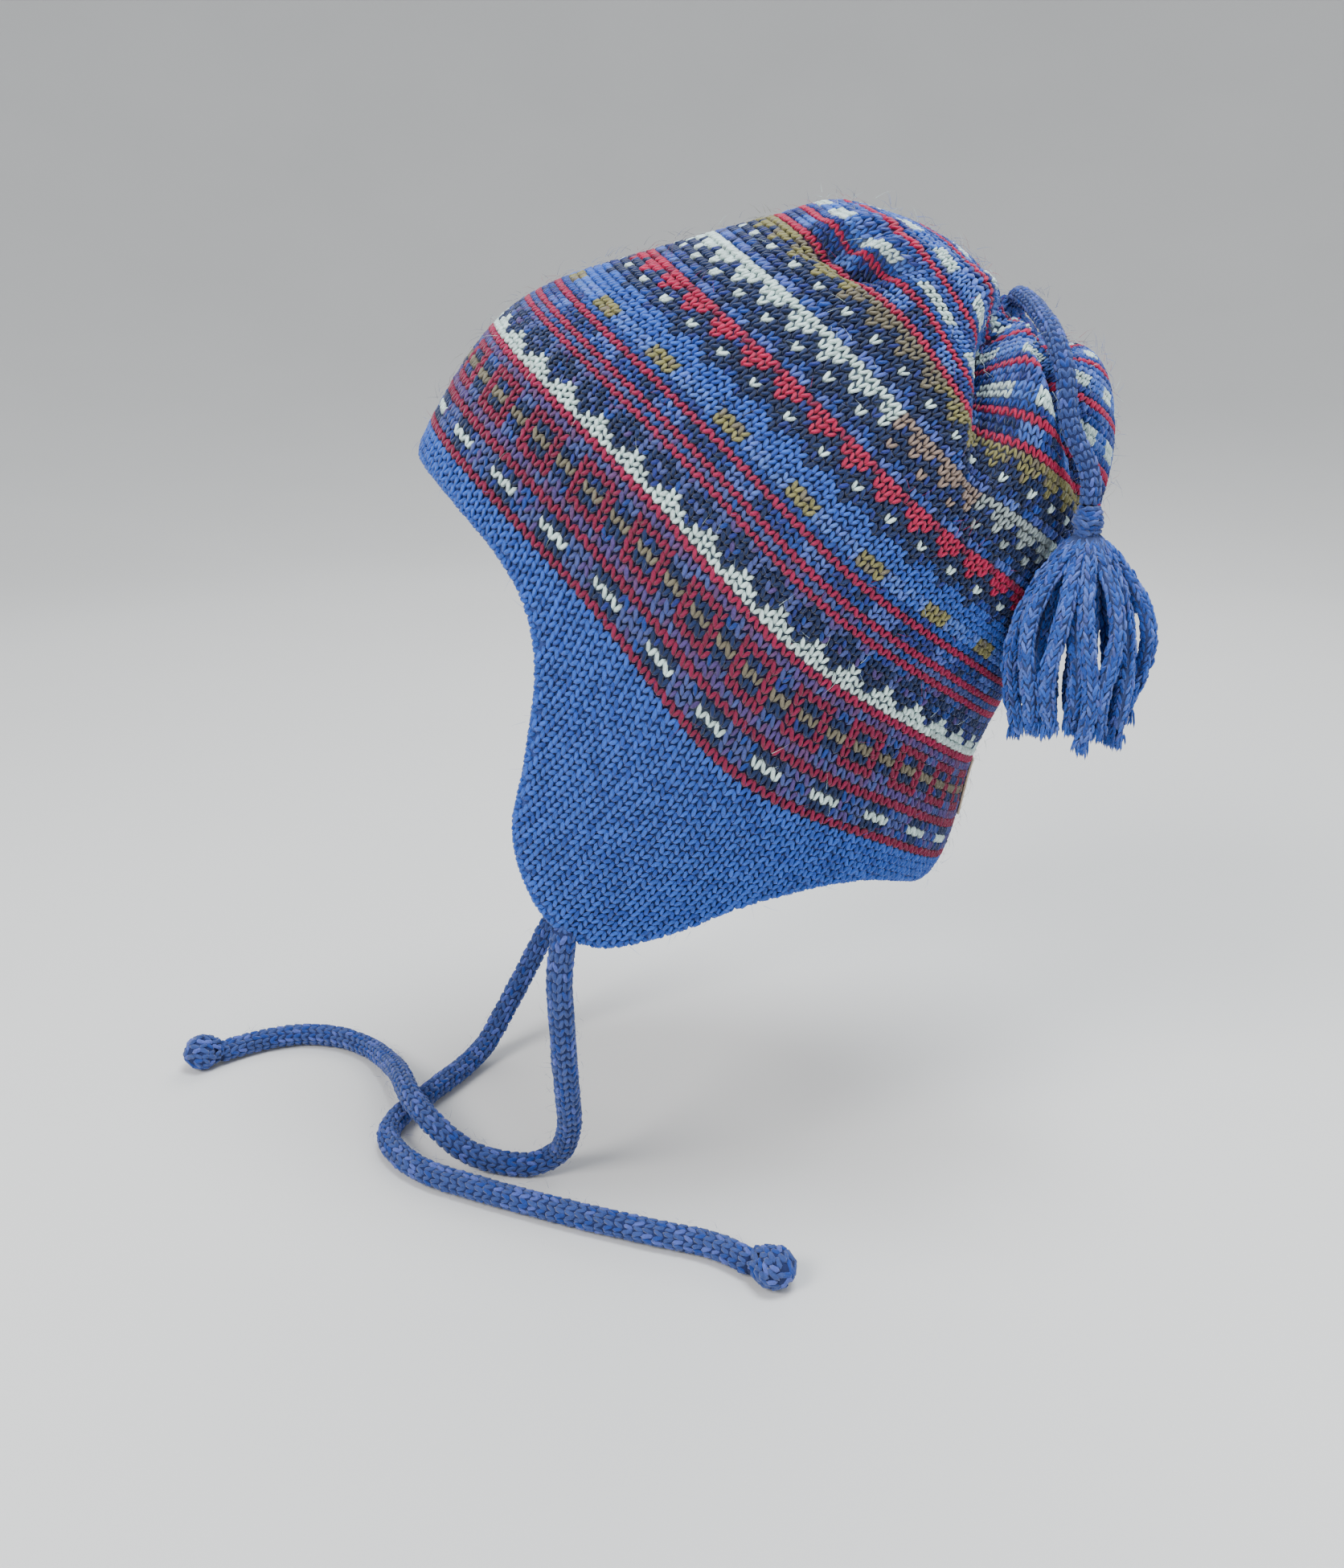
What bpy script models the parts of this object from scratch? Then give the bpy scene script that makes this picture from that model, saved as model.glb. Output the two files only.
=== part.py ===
"""Chullo hat: a hollow patterned crown gathered at the top, a plain band with two ear flaps, a braid with
a tassel, two knitted ties that lie on the table below, and a plain patch at the nape.

Metres, +Z up. The brow faces -Y and the wearer's left is +X. The origin is the inside of the crown where
the top of the head bears, and the table that the ties lie on is TABLE_Z below it.
"""

import math
from collections import namedtuple

import bmesh
import bpy
import numpy as np
from mathutils import Vector

MM = 0.001
DOWN = Vector((0, 0, -1))

# Walls and gaps
CROWN_WALL = 3.2 * MM
BAND_WALL = 5.0 * MM
GAP = 0.3 * MM

# The knit's outer face. Rows count up from the border between the band and the crown.
ROW_HEIGHT = 2.75 * MM
GATHER_ROW = 78
BACK_FULLNESS = 0.10
NORMAL_STEP = 0.01
BORDER_GAP = 0.42 * MM
BORDER_ROW = BORDER_GAP / ROW_HEIGHT / 2

# Ties with their knobs, and the braid
TABLE_Z = -325 * MM
TIE_RADIUS = 4.75 * MM
TIE_STEP = 16 * MM
KNOB_RADIUS = 7.4 * MM
KNOB_END_RADIUS = 3.2 * MM
KNOB_STEPS = 6
KNOB_SIDES = 12
BRAID_RADIUS = 3.4 * MM
BRAID_STEP = 7 * MM

# Tassel: a round core with locks of yarn fused to it, in an oval that is wider seen from the side
TASSEL_DROP = 60 * MM
TASSEL_HALF_WIDTH = 15.5 * MM
TASSEL_HALF_DEPTH = 11 * MM
LOCKS = 11
LOCK_RADIUS = 5.6 * MM
LOCK_SIDES = 6
LOCK_UNEVENNESS = 0.07
LOCK_WAVES = 5
CORE_SIDES = 16
KNOT_SIDES = 14

# Each section is a closed ring of the knit's outer face, in millimetres: its foremost and rearmost
# points on the middle plane, its half width, and how far its sides sag above the ears. The first one
# lies below the flaps, to aim them.
Section = namedtuple("Section", "row front_y front_z back_y back_z half_width sag")
SECTIONS = (
    Section(-30, -117, -137, 12, -257, 72, 13),
    Section(0, -94, -58, 84, -208, 78, 13),
    Section(13, -72, -27, 93, -171, 79, 7),
    Section(25, -50, -13, 104, -145, 78, 4),
    Section(36, -20, -4, 115, -121, 73, 3),
    Section(48, 18, 6, 128, -89, 64, 5),
    Section(58, 43, 11, 132, -62, 55, 4),
    Section(65.5, 64, 4, 128, -43, 42, 2),
    Section(71, 80, -6, 120, -34, 27, 0),
    Section(75, 91, -15, 110, -29, 14, 0),
    Section(78, 97, -21, 103, -25, 5, 0),
)
SAG_ANGLE = 103
SAG_HALF_ANGLE = 25

# Folds of the loose top. Angles run from the brow round the wearer's left ear, in degrees, and the lean is
# how far a fold's line turns for each row up. A fold keeps its width where the rings narrow. The height
# is how far it stands out of the ring, in millimetres, negative in a valley, and the drop is how far it
# hangs down along the knit.
Fold = namedtuple("Fold", "angle row half_angle half_rows lean height drop")
FOLDS = (
    Fold(93, 58, 6, 14, -1.1, -15, 0),
    Fold(84, 57, 16, 8, -1.3, -2, 5),
    Fold(104, 57, 8, 9, -1.7, 5, 0),
    Fold(117, 56, 6, 9, -3, -6, 0),
    Fold(137, 56, 13, 10, -1.8, 1, 0),
    Fold(49, 49.5, 12, 2, 4, -5, 0),
    Fold(50, 56, 18, 4.5, 3, 4, 6),
    Fold(60, 73, 18, 6, 0, -6, 0),
    Fold(110, 70, 20, 7, 0, -14, 0),
    Fold(12, 68, 11, 8, 0, -5, 0),
    Fold(172, 68, 10, 9, 0, -6, 0),
    Fold(215, 60, 16, 11, 0, 3, 0),
    Fold(240, 64, 9, 13, 0, -10, 0),
    Fold(262, 58, 10, 10, 0, 4, 0),
    Fold(286, 66, 9, 12, 0, -9, 0),
    Fold(318, 60, 16, 8, 0, 3, 0),
)

# The crown's grid is finer where it folds: where each stretch of columns or rows starts and ends, and
# its number of steps
Stretch = namedtuple("Stretch", "start end steps")
COLUMN_STRETCHES = (Stretch(0, 72, 9), Stretch(72, 144, 20), Stretch(144, 360, 31))
ROW_STRETCHES = (
    Stretch(BORDER_ROW, 36, 6),
    Stretch(36, 48, 3),
    Stretch(48, 60, 6),
    Stretch(60, GATHER_ROW, 7),
)

# The lower edge of the band and of one flap, from the brow to the nape: where the column starts at the
# border, where it ends at the edge, and how many rows below the border it ends.
EdgePoint = namedtuple("EdgePoint", "start_angle end_angle rows_down")
EDGE = (
    EdgePoint(0, 0, 3.4),
    EdgePoint(34, 35, 2.6),
    EdgePoint(51, 55, 3.5),
    EdgePoint(62, 66, 8),
    EdgePoint(71, 73.5, 17.3),
    EdgePoint(80, 80, 25.3),
    EdgePoint(93, 93, 27.9),
    EdgePoint(107, 107.5, 26.6),
    EdgePoint(115, 115.5, 21.2),
    EdgePoint(122, 121.5, 12.2),
    EdgePoint(133, 132.5, 5.8),
    EdgePoint(150, 148, 3.3),
    EdgePoint(180, 180, 2.9),
)
BAND_COLUMNS = 44
BAND_STEPS = 5
EDGE_ARC_STEPS = 3

# Routes in millimetres: from the flap's tip down to the table and along it
TIE_LEFT_ROUTE = (
    (70, -46.5, -217.4),
    (69, -48, -230),
    (66, -48, -246),
    (61, -48, -264),
    (53, -48, -284),
    (44, -49, -303),
    (38, -54, -316),
    (39, -63, -320),
    (38, -75, -320),
    (34, -88, -318),
    (26, -101, -312),
    (12, -112, -309.6),
    (-9, -121, -311),
    (-31, -131, -317),
    (-48, -143, -320),
    (-57, -158, -320),
    (-59, -174, -320),
    (-53, -191, -320),
    (-42, -205, -320),
)
TIE_RIGHT_ROUTE = (
    (-70, -46.5, -217.4),
    (-70, -51, -238),
    (-69, -59, -256),
    (-66, -68, -273),
    (-61, -77, -290),
    (-54, -86, -306),
    (-46, -93, -317),
    (-35, -99, -320),
    (-20, -106, -320),
    (-5, -113, -320),
    (8, -119, -320),
    (21, -120, -320),
    (34, -113, -320),
    (45, -101, -320),
    (53, -85, -320),
    (62, -64, -320),
    (71, -41, -320),
    (79, -18, -320),
    (87, 5, -320),
    (96, 17, -320),
)
BRAID_ROUTE = (
    (0, 99, -19.6),
    (4, 98.6, -18.3),
    (11, 98.6, -18.4),
    (22, 100, -21),
    (34, 101, -25),
    (44, 102, -29),
    (52, 103, -35),
    (56, 104, -41),
    (57.8, 104.6, -48),
    (58.3, 105.6, -54),
    (59, 108.3, -60),
    (60, 111.5, -66),
    (60.5, 113, -71.5),
    (60.5, 113, -78),
)

# Turned profiles in millimetres: distance down from the top, and radius
Turn = namedtuple("Turn", "down radius")
KNOT_PROFILE = (Turn(0, 3.8), Turn(2, 5.5), Turn(7, 5.5), Turn(9, 4.2))
CORE_PROFILE = (Turn(0, 4), Turn(4, 7), Turn(12, 10), Turn(24, 11), Turn(50, 10))

# Stations of a lock of the tassel: the share of its drop, how far it has spread, and how fat it is
LockStation = namedtuple("LockStation", "share spread girth")
LOCK_STATIONS = (
    LockStation(0.03, 0.2, 0.55),
    LockStation(0.15, 0.5, 0.85),
    LockStation(0.35, 0.85, 1),
    LockStation(0.6, 1, 1),
    LockStation(0.85, 0.95, 0.95),
    LockStation(1, 0.9, 0.6),
)

# Plain patch at the nape
PATCH_HALF_ANGLE = 9.0
PATCH_ROWS = (5.5, 12.5)
PATCH_LIFT = 0.55 * MM
PATCH_THICKNESS = 0.8 * MM
PATCH_COLUMNS = 4
PATCH_STEPS = 3


def clear_scene():
    for obj in list(bpy.data.objects):
        bpy.data.objects.remove(obj)


def through(rows, values, at):
    """A smooth curve through the values at the rows, read at other rows."""
    rows = np.asarray(rows, float)
    values = np.asarray(values, float)
    slopes = np.gradient(values, rows)
    left = np.clip(np.searchsorted(rows, at, side="right") - 1, 0, len(rows) - 2)
    width = rows[left + 1] - rows[left]
    t = (at - rows[left]) / width
    return (
        (2 * t**3 - 3 * t**2 + 1) * values[left]
        + (t**3 - 2 * t**2 + t) * width * slopes[left]
        + (3 * t**2 - 2 * t**3) * values[left + 1]
        + (t**3 - t**2) * width * slopes[left + 1]
    )


def ring_point(angle, row):
    """Points of the smooth outer face, without its folds, at angles in degrees and rows."""
    angle, row = np.broadcast_arrays(np.asarray(angle, float), np.asarray(row, float))
    rows = [section.row for section in SECTIONS]
    front_y, front_z, back_y, back_z, half_width, sag = (
        through(rows, [getattr(section, name) for section in SECTIONS], row) * MM
        for name in Section._fields[1:]
    )
    forward = np.cos(np.radians(angle))
    sideways = np.sin(np.radians(angle))
    from_brow = np.abs((angle + 180) % 360 - 180)
    drop = sag * np.exp(-(((from_brow - SAG_ANGLE) / SAG_HALF_ANGLE) ** 2))
    length_y = front_y - back_y
    length_z = front_z - back_z
    length = np.hypot(length_y, length_z)
    x = half_width * sideways * (1 - BACK_FULLNESS * forward)
    y = (front_y + back_y + forward * length_y) / 2 - drop * length_z / length
    z = (front_z + back_z + forward * length_z) / 2 + drop * length_y / length
    return np.stack([x, y, z], axis=-1)


def directions(angle, row):
    """Unit vectors out of the smooth outer face and up along the knit."""
    angle, row = np.broadcast_arrays(np.asarray(angle, float), np.asarray(row, float))
    low = np.minimum(row, GATHER_ROW - NORMAL_STEP)
    around = ring_point(angle + NORMAL_STEP, low) - ring_point(angle - NORMAL_STEP, low)
    up = ring_point(angle, low + NORMAL_STEP) - ring_point(angle, low - NORMAL_STEP)
    out = np.cross(around, up)
    out /= np.linalg.norm(out, axis=-1, keepdims=True)
    up /= np.linalg.norm(up, axis=-1, keepdims=True)
    return out, up


def fold_shift(angle, row):
    """How far the folds move the outer face: outwards, and down along the knit."""
    out = np.zeros(np.broadcast(angle, row).shape)
    down = np.zeros_like(out)
    rows = [section.row for section in SECTIONS]
    widths = [section.half_width for section in SECTIONS]
    width = through(rows, widths, row)
    for fold in FOLDS:
        line = fold.angle + fold.lean * (row - fold.row)
        turn = (angle - line + 180) % 360 - 180
        half_angle = fold.half_angle * through(rows, widths, fold.row) / width
        share = np.exp(-((turn / half_angle) ** 2) - ((row - fold.row) / fold.half_rows) ** 2)
        out += fold.height * MM * share
        down += fold.drop * MM * share
    return out, down


def face_point(angle, row, outset=0.0):
    """Points of the folded outer face, moved outwards by the outset."""
    out, up = directions(angle, row)
    reach, drop = fold_shift(angle, row)
    return ring_point(angle, row) + out * (reach + outset)[..., None] - up * drop[..., None]


def new_material(name, colour, roughness):
    material = bpy.data.materials.new(name)
    material.use_nodes = True
    shader = material.node_tree.nodes["Principled BSDF"]
    shader.inputs["Base Color"].default_value = (*colour, 1)
    shader.inputs["Roughness"].default_value = roughness
    shader.inputs["Metallic"].default_value = 0.0
    return material


def add_mesh(name, mesh_source, material):
    """An object from a bmesh, with outward faces and smooth shading."""
    bmesh.ops.recalc_face_normals(mesh_source, faces=mesh_source.faces)
    mesh = bpy.data.meshes.new(name)
    mesh_source.to_mesh(mesh)
    mesh_source.free()
    mesh.shade_smooth()
    mesh.materials.append(material)
    obj = bpy.data.objects.new(name, mesh)
    bpy.context.scene.collection.objects.link(obj)
    return obj


def add_vertices(shape, points):
    return [shape.verts.new(point) for point in np.asarray(points, float)]


def bridge(shape, lower, upper, closed=True):
    """Quads between two rows of vertices."""
    count = len(lower) if closed else len(lower) - 1
    for index in range(count):
        after = (index + 1) % len(lower)
        shape.faces.new((lower[index], lower[after], upper[after], upper[index]))


def stretched(stretches):
    """Steps through stretches, without the last one's end."""
    return np.concatenate([np.linspace(*stretch, endpoint=False) for stretch in stretches])


def build_crown(material):
    """Outer and inner faces joined at the border, each closed at the gathered centre."""
    angles = stretched(COLUMN_STRETCHES)
    rows = np.append(stretched(ROW_STRETCHES), GATHER_ROW)
    shape = bmesh.new()
    borders = []
    for outset in (0.0, -CROWN_WALL):
        rings = [add_vertices(shape, face_point(angles, row, outset)) for row in rows]
        for lower, upper in zip(rings, rings[1:]):
            bridge(shape, lower, upper)
        last = rings[-1]
        apex = shape.verts.new(face_point(angles, GATHER_ROW, outset).mean(axis=0))
        for vertex, after in zip(last, last[1:] + last[:1]):
            shape.faces.new((vertex, after, apex))
        borders.append(rings[0])
    bridge(shape, borders[1], borders[0])
    return add_mesh("crown", shape, material)


def edge_columns():
    """Start angles, end angles and end rows of the band's columns, all the way round."""
    steps = np.arange(len(EDGE))
    at = np.linspace(0, len(EDGE) - 1, BAND_COLUMNS + 1)
    start, end, down = (
        through(steps, [getattr(point, name) for point in EDGE], at) for name in EdgePoint._fields
    )
    start = np.concatenate([start, 360 - start[-2:0:-1]])
    end = np.concatenate([end, 360 - end[-2:0:-1]])
    down = np.concatenate([down, down[-2:0:-1]])
    return start, end, down


def build_band(material):
    """The plain band and both flaps: one wall whose lower edge is rounded."""
    start, end, down = edge_columns()
    edge = face_point(end, -down)
    normal, _ = directions(end, -down)
    beyond = np.cross(np.roll(edge, -1, axis=0) - np.roll(edge, 1, axis=0), normal)
    beyond /= np.linalg.norm(beyond, axis=-1, keepdims=True)
    middle = face_point(end, -down, -BAND_WALL / 2)

    def wall_ring(step, outset):
        share = step / BAND_STEPS
        return face_point(start + (end - start) * share, -BORDER_ROW - (down - BORDER_ROW) * share, outset)

    rings = [wall_ring(step, 0.0) for step in range(BAND_STEPS)]
    for turn in np.linspace(0, math.pi, EDGE_ARC_STEPS + 1):
        rings.append(middle + (normal * math.cos(turn) + beyond * math.sin(turn)) * BAND_WALL / 2)
    rings += [wall_ring(step, -BAND_WALL) for step in reversed(range(BAND_STEPS))]
    shape = bmesh.new()
    loops = [add_vertices(shape, ring) for ring in rings]
    for lower, upper in zip(loops, loops[1:] + loops[:1]):
        bridge(shape, lower, upper)
    return add_mesh("earflap_band", shape, material)


def smooth_route(route, step):
    """Points a step apart, in metres, on a smooth curve through the route's points."""
    points = np.asarray(route, float) * MM
    spans = np.linalg.norm(np.diff(points, axis=0), axis=1)
    at = np.concatenate([[0.0], np.cumsum(spans)])
    count = max(2, round(at[-1] / step) + 1)
    read = np.linspace(0, at[-1], count)
    return np.stack([through(at, points[:, axis], read) for axis in range(3)], axis=-1)


def build_tube(name, points, radius, material):
    curve = bpy.data.curves.new(name, "CURVE")
    curve.dimensions = "3D"
    curve.bevel_depth = radius
    curve.bevel_resolution = 2
    curve.use_fill_caps = True
    spline = curve.splines.new("POLY")
    spline.points.add(len(points) - 1)
    for slot, point in zip(spline.points, points):
        slot.co = (*point, 1)
    curve.materials.append(material)
    obj = bpy.data.objects.new(name, curve)
    bpy.context.scene.collection.objects.link(obj)
    return obj


def build_turned(name, profile, top, axis, sides, material):
    """A solid turned round an axis that runs down from its top."""
    axis = axis.normalized()
    across = axis.orthogonal().normalized()
    other = axis.cross(across)
    shape = bmesh.new()
    rings = []
    for turn in profile:
        centre = Vector(top) + axis * turn.down * MM
        spokes = [math.tau * side / sides for side in range(sides)]
        ring = [
            centre + (across * math.cos(spoke) + other * math.sin(spoke)) * turn.radius * MM
            for spoke in spokes
        ]
        rings.append(add_vertices(shape, ring))
    for lower, upper in zip(rings, rings[1:]):
        bridge(shape, lower, upper)
    shape.faces.new(rings[0])
    shape.faces.new(rings[-1])
    bmesh.ops.triangulate(shape, faces=[face for face in shape.faces if len(face.verts) > 4])
    return add_mesh(name, shape, material)


def knob_profile():
    """A ball whose two ends are cut flat."""
    cut = math.asin(KNOB_END_RADIUS / KNOB_RADIUS)
    reach = KNOB_RADIUS * math.cos(cut)
    turns = np.linspace(cut, math.pi - cut, KNOB_STEPS + 1)
    return [
        Turn((reach - KNOB_RADIUS * math.cos(turn)) / MM, KNOB_RADIUS * math.sin(turn) / MM)
        for turn in turns
    ]


def build_knob(name, points, material):
    """The stuffed knob in line with the tie's end, a gap away from it and resting on the table."""
    axis = Vector(points[-1] - points[-2]).normalized()
    top = Vector(points[-1]) + axis * GAP
    centre = top + axis * KNOB_RADIUS
    top.z += max(0.0, TABLE_Z + KNOB_RADIUS - centre.z)
    return build_turned(name, knob_profile(), top, axis, KNOB_SIDES, material)


def build_lock(name, turn, top, material):
    """One lock of yarn that spreads from the tassel's neck and hangs down."""
    lean = Vector((math.cos(turn) * TASSEL_HALF_DEPTH, math.sin(turn) * TASSEL_HALF_WIDTH, 0))
    drop = TASSEL_DROP * (1 + LOCK_UNEVENNESS * math.cos(LOCK_WAVES * turn))
    shape = bmesh.new()
    rings = []
    for station in LOCK_STATIONS:
        centre = top + lean * station.spread + DOWN * drop * station.share
        spokes = [math.tau * side / LOCK_SIDES + turn for side in range(LOCK_SIDES)]
        reach = LOCK_RADIUS * station.girth
        ring = [centre + Vector((math.cos(spoke), math.sin(spoke), 0)) * reach for spoke in spokes]
        rings.append(add_vertices(shape, ring))
    for lower, upper in zip(rings, rings[1:]):
        bridge(shape, lower, upper)
    shape.faces.new(rings[0])
    shape.faces.new(rings[-1])
    lock = add_mesh(name, shape, material)
    lock.hide_render = True
    lock.display_type = "WIRE"
    return lock


def build_tassel(top, material):
    """Locks of yarn round a core, joined into one solid."""
    locks = bpy.data.collections.new("tassel_locks")
    bpy.context.scene.collection.children.link(locks)
    for index in range(LOCKS):
        lock = build_lock(f"lock_{index}", math.tau * index / LOCKS, top, material)
        bpy.context.scene.collection.objects.unlink(lock)
        locks.objects.link(lock)
    tassel = build_turned("tassel", CORE_PROFILE, top, DOWN, CORE_SIDES, material)
    union = tassel.modifiers.new("locks", "BOOLEAN")
    union.operation = "UNION"
    union.operand_type = "COLLECTION"
    union.collection = locks
    union.solver = "EXACT"
    return tassel


def build_patch(material):
    """The plain patch at the nape: a thin slab laid on the outer face."""
    angles = np.linspace(180 - PATCH_HALF_ANGLE, 180 + PATCH_HALF_ANGLE, PATCH_COLUMNS + 1)
    rows = np.linspace(*PATCH_ROWS, PATCH_STEPS + 1)
    shape = bmesh.new()
    inner, outer = (
        [add_vertices(shape, face_point(angles, row, outset)) for row in rows]
        for outset in (PATCH_LIFT, PATCH_LIFT + PATCH_THICKNESS)
    )
    for layer in (inner, outer):
        for lower, upper in zip(layer, layer[1:]):
            bridge(shape, lower, upper, closed=False)
    for end in (0, -1):
        bridge(shape, inner[end], outer[end], closed=False)
        bridge(shape, [line[end] for line in inner], [line[end] for line in outer], closed=False)
    return add_mesh("nape_label", shape, material)


def main():
    clear_scene()
    patterned = new_material("patterned_wool", (0.06, 0.08, 0.22), 0.95)
    blue = new_material("blue_wool", (0.07, 0.12, 0.42), 0.95)
    tan = new_material("tan_cloth", (0.45, 0.33, 0.22), 0.9)
    build_crown(patterned)
    build_band(blue)
    for side, route in (("left", TIE_LEFT_ROUTE), ("right", TIE_RIGHT_ROUTE)):
        points = smooth_route(route, TIE_STEP)
        build_tube(f"tie_{side}", points, TIE_RADIUS, blue)
        build_knob(f"tie_{side}_knob", points, blue)
    braid = smooth_route(BRAID_ROUTE, BRAID_STEP)
    build_tube("tassel_braid", braid, BRAID_RADIUS, blue)
    knot_top = Vector(braid[-1]) + DOWN * GAP
    build_turned("tassel_knot", KNOT_PROFILE, knot_top, DOWN, KNOT_SIDES, blue)
    build_tassel(knot_top + DOWN * (KNOT_PROFILE[-1].down * MM + GAP), blue)
    build_patch(tan)


main()
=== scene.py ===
"""Looks of the chullo hat: knitted stitches, cords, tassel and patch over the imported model.

Metres, +Z up. The brow faces -Y and the wearer's left ear is on +X. The knit's face, its folds and the
routes of the cords are the ones that the part's source gives, with a few smaller wrinkles added here.
"""

import math
from collections import namedtuple

import bmesh
import bpy
import numpy as np
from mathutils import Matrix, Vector


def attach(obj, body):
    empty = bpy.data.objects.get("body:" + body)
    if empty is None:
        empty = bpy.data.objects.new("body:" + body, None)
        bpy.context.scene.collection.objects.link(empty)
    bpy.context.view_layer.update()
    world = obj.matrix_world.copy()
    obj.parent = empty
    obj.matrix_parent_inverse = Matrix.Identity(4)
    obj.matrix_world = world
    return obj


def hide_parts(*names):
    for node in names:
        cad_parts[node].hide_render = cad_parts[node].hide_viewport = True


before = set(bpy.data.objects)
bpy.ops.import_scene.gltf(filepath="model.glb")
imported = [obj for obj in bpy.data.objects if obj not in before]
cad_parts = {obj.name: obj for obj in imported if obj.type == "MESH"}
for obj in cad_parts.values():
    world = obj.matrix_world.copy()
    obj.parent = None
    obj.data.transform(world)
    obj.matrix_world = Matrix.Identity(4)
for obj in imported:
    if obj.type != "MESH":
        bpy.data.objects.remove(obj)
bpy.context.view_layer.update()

# A millimetre, the way down, and turns in degrees
MM = 0.001
DOWN = Vector((0, 0, -1))
TURN = 360
HALF_TURN = 180

# The camera stands at the photograph's place and looks down at the hat's left side
CAMERA_PLACE = (0.499, 0.0, -0.0244)
CAMERA_PITCH = math.radians(17.92)
CAMERA_YAW = math.radians(1.48)
CAMERA_LENS = 33.21
CAMERA_SENSOR = 36

# Walls of the knit
CROWN_WALL = 3.2 * MM
BAND_WALL = 5.0 * MM
SHELL_DEPTH = 1.3 * MM
# GAP_SHADE is the share of the dark K mixed into the crown shell's outer colour: painted shade in the gaps
# between the stitches
GAP_SHADE = 0.75

# The knit's face. Rows count up from the border between the band and the crown.
ROW_HEIGHT = 2.75 * MM
GATHER_ROW = 78
BACK_FULLNESS = 0.10

# Steps to either side over which the way out is measured: on the smooth face in degrees and rows, and on the
# folded one in wales and rows
NORMAL_STEP = 0.01
OUT_STEP = 0.3

# Rings of the face in millimetres, from the flaps' tips to the gathered centre
Section = namedtuple("Section", "row front_y front_z back_y back_z half_width sag")
SECTIONS = (
    Section(-30, -117, -137, 12, -257, 72, 13),
    Section(0, -94, -58, 84, -208, 78, 13),
    Section(13, -72, -27, 93, -171, 79, 7),
    Section(25, -50, -13, 104, -145, 78, 4),
    Section(36, -20, -4, 115, -121, 73, 3),
    Section(48, 18, 6, 128, -89, 64, 5),
    Section(58, 43, 11, 132, -62, 55, 4),
    Section(65.5, 64, 4, 128, -43, 42, 2),
    Section(71, 80, -6, 120, -34, 27, 0),
    Section(75, 91, -15, 110, -29, 14, 0),
    Section(78, 97, -21, 103, -25, 5, 0),
)

# Where the rings sag, in degrees from the brow
SAG_ANGLE = 103
SAG_HALF_ANGLE = 25

# Folds: where each is and how wide, how it leans, and how far it moves the knit in millimetres
Fold = namedtuple("Fold", "angle row half_angle half_rows lean height drop", defaults=(0,))
FOLDS = (
    Fold(93, 58, 6, 14, -1.1, -15),
    Fold(84, 57, 16, 8, -1.3, -2, 5),
    Fold(104, 57, 8, 9, -1.7, 5),
    Fold(117, 56, 6, 9, -3, -6),
    Fold(137, 56, 13, 10, -1.8, 1),
    Fold(49, 49.5, 12, 2, 4, -5),
    Fold(50, 56, 18, 4.5, 3, 4, 6),
    Fold(60, 73, 18, 6, 0, -6),
    Fold(110, 70, 20, 7, 0, -14),
    Fold(12, 68, 11, 8, 0, -5),
    Fold(172, 68, 10, 9, 0, -6),
    Fold(215, 60, 16, 11, 0, 3),
    Fold(240, 64, 9, 13, 0, -10),
    Fold(262, 58, 10, 10, 0, 4),
    Fold(286, 66, 9, 12, 0, -9),
    Fold(318, 60, 16, 8, 0, 3),
)

# Smaller wrinkles that only the stitches show
WRINKLES = (
    Fold(46, 53, 3.2, 4.5, 1.2, -5),
    Fold(39, 54, 5, 4, 1.2, 2.5),
    Fold(55, 51.5, 3, 3, 1.8, -4),
    Fold(51, 55, 4, 3.5, 1.2, 2.5),
    Fold(94, 58.5, 2.8, 8, -0.7, -7),
    Fold(92, 74, 30, 3, 0, 5),
    Fold(310, 54, 3.5, 5, -1.2, -4),
    Fold(302, 56, 4, 4, -1.2, 2),
)

# The lower edge of the band and of one flap, from the brow to the nape
EdgePoint = namedtuple("EdgePoint", "start_angle end_angle rows_down")
EDGE = (
    EdgePoint(0, 0, 3.4),
    EdgePoint(34, 35, 2.6),
    EdgePoint(51, 55, 3.5),
    EdgePoint(62, 66, 8),
    EdgePoint(71, 73.5, 17.3),
    EdgePoint(80, 80, 25.3),
    EdgePoint(93, 93, 27.9),
    EdgePoint(107, 107.5, 26.6),
    EdgePoint(115, 115.5, 21.2),
    EdgePoint(122, 121.5, 12.2),
    EdgePoint(133, 132.5, 5.8),
    EdgePoint(150, 148, 3.3),
    EdgePoint(180, 180, 2.9),
)

# Wales are counted from the brow round the wearer's left ear, and lie closer towards the nape. A mark is
# the share of the way from brow to nape, and the wales counted to it.
WALES = 160
WaleMark = namedtuple("WaleMark", "share wale")
WALE_MARKS = (WaleMark(0, 0), WaleMark(0.21, 15.75), WaleMark(0.58, 43.6), WaleMark(1, 80))

# How finely the map of the wales is worked out: in rows, and in places a wale
WALE_ROW_STEP = 0.5
WALE_READS = 4

# The middles of the flaps, and the rows below the border over which a flap's wales come to keep their width
FLAP_CENTRES = (97, 263)
FLAP_TOP = 1
FLAP_BLEND = 9

# One leg of a knitted V, in wales and rows from the stitch's centre, and its thickness
LEG_FOOT = 0.03
LEG_HEAD = 0.46
LEG_REACH = 0.66
LEG_WIDTH = 0.42
LEG_DEPTH = 1.9 * MM
LEG_LIFT = -0.5 * MM

# The spindle that stands for a leg. It bends by a share of its own thickness, and its turn (in radians) and
# its size vary.
LEG_SIDES = 6
LEG_RINGS = 3
LEG_SIZES = {"Bend": 1.0, "Turn jitter": 0.15, "Size jitter": 0.13}
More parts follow.
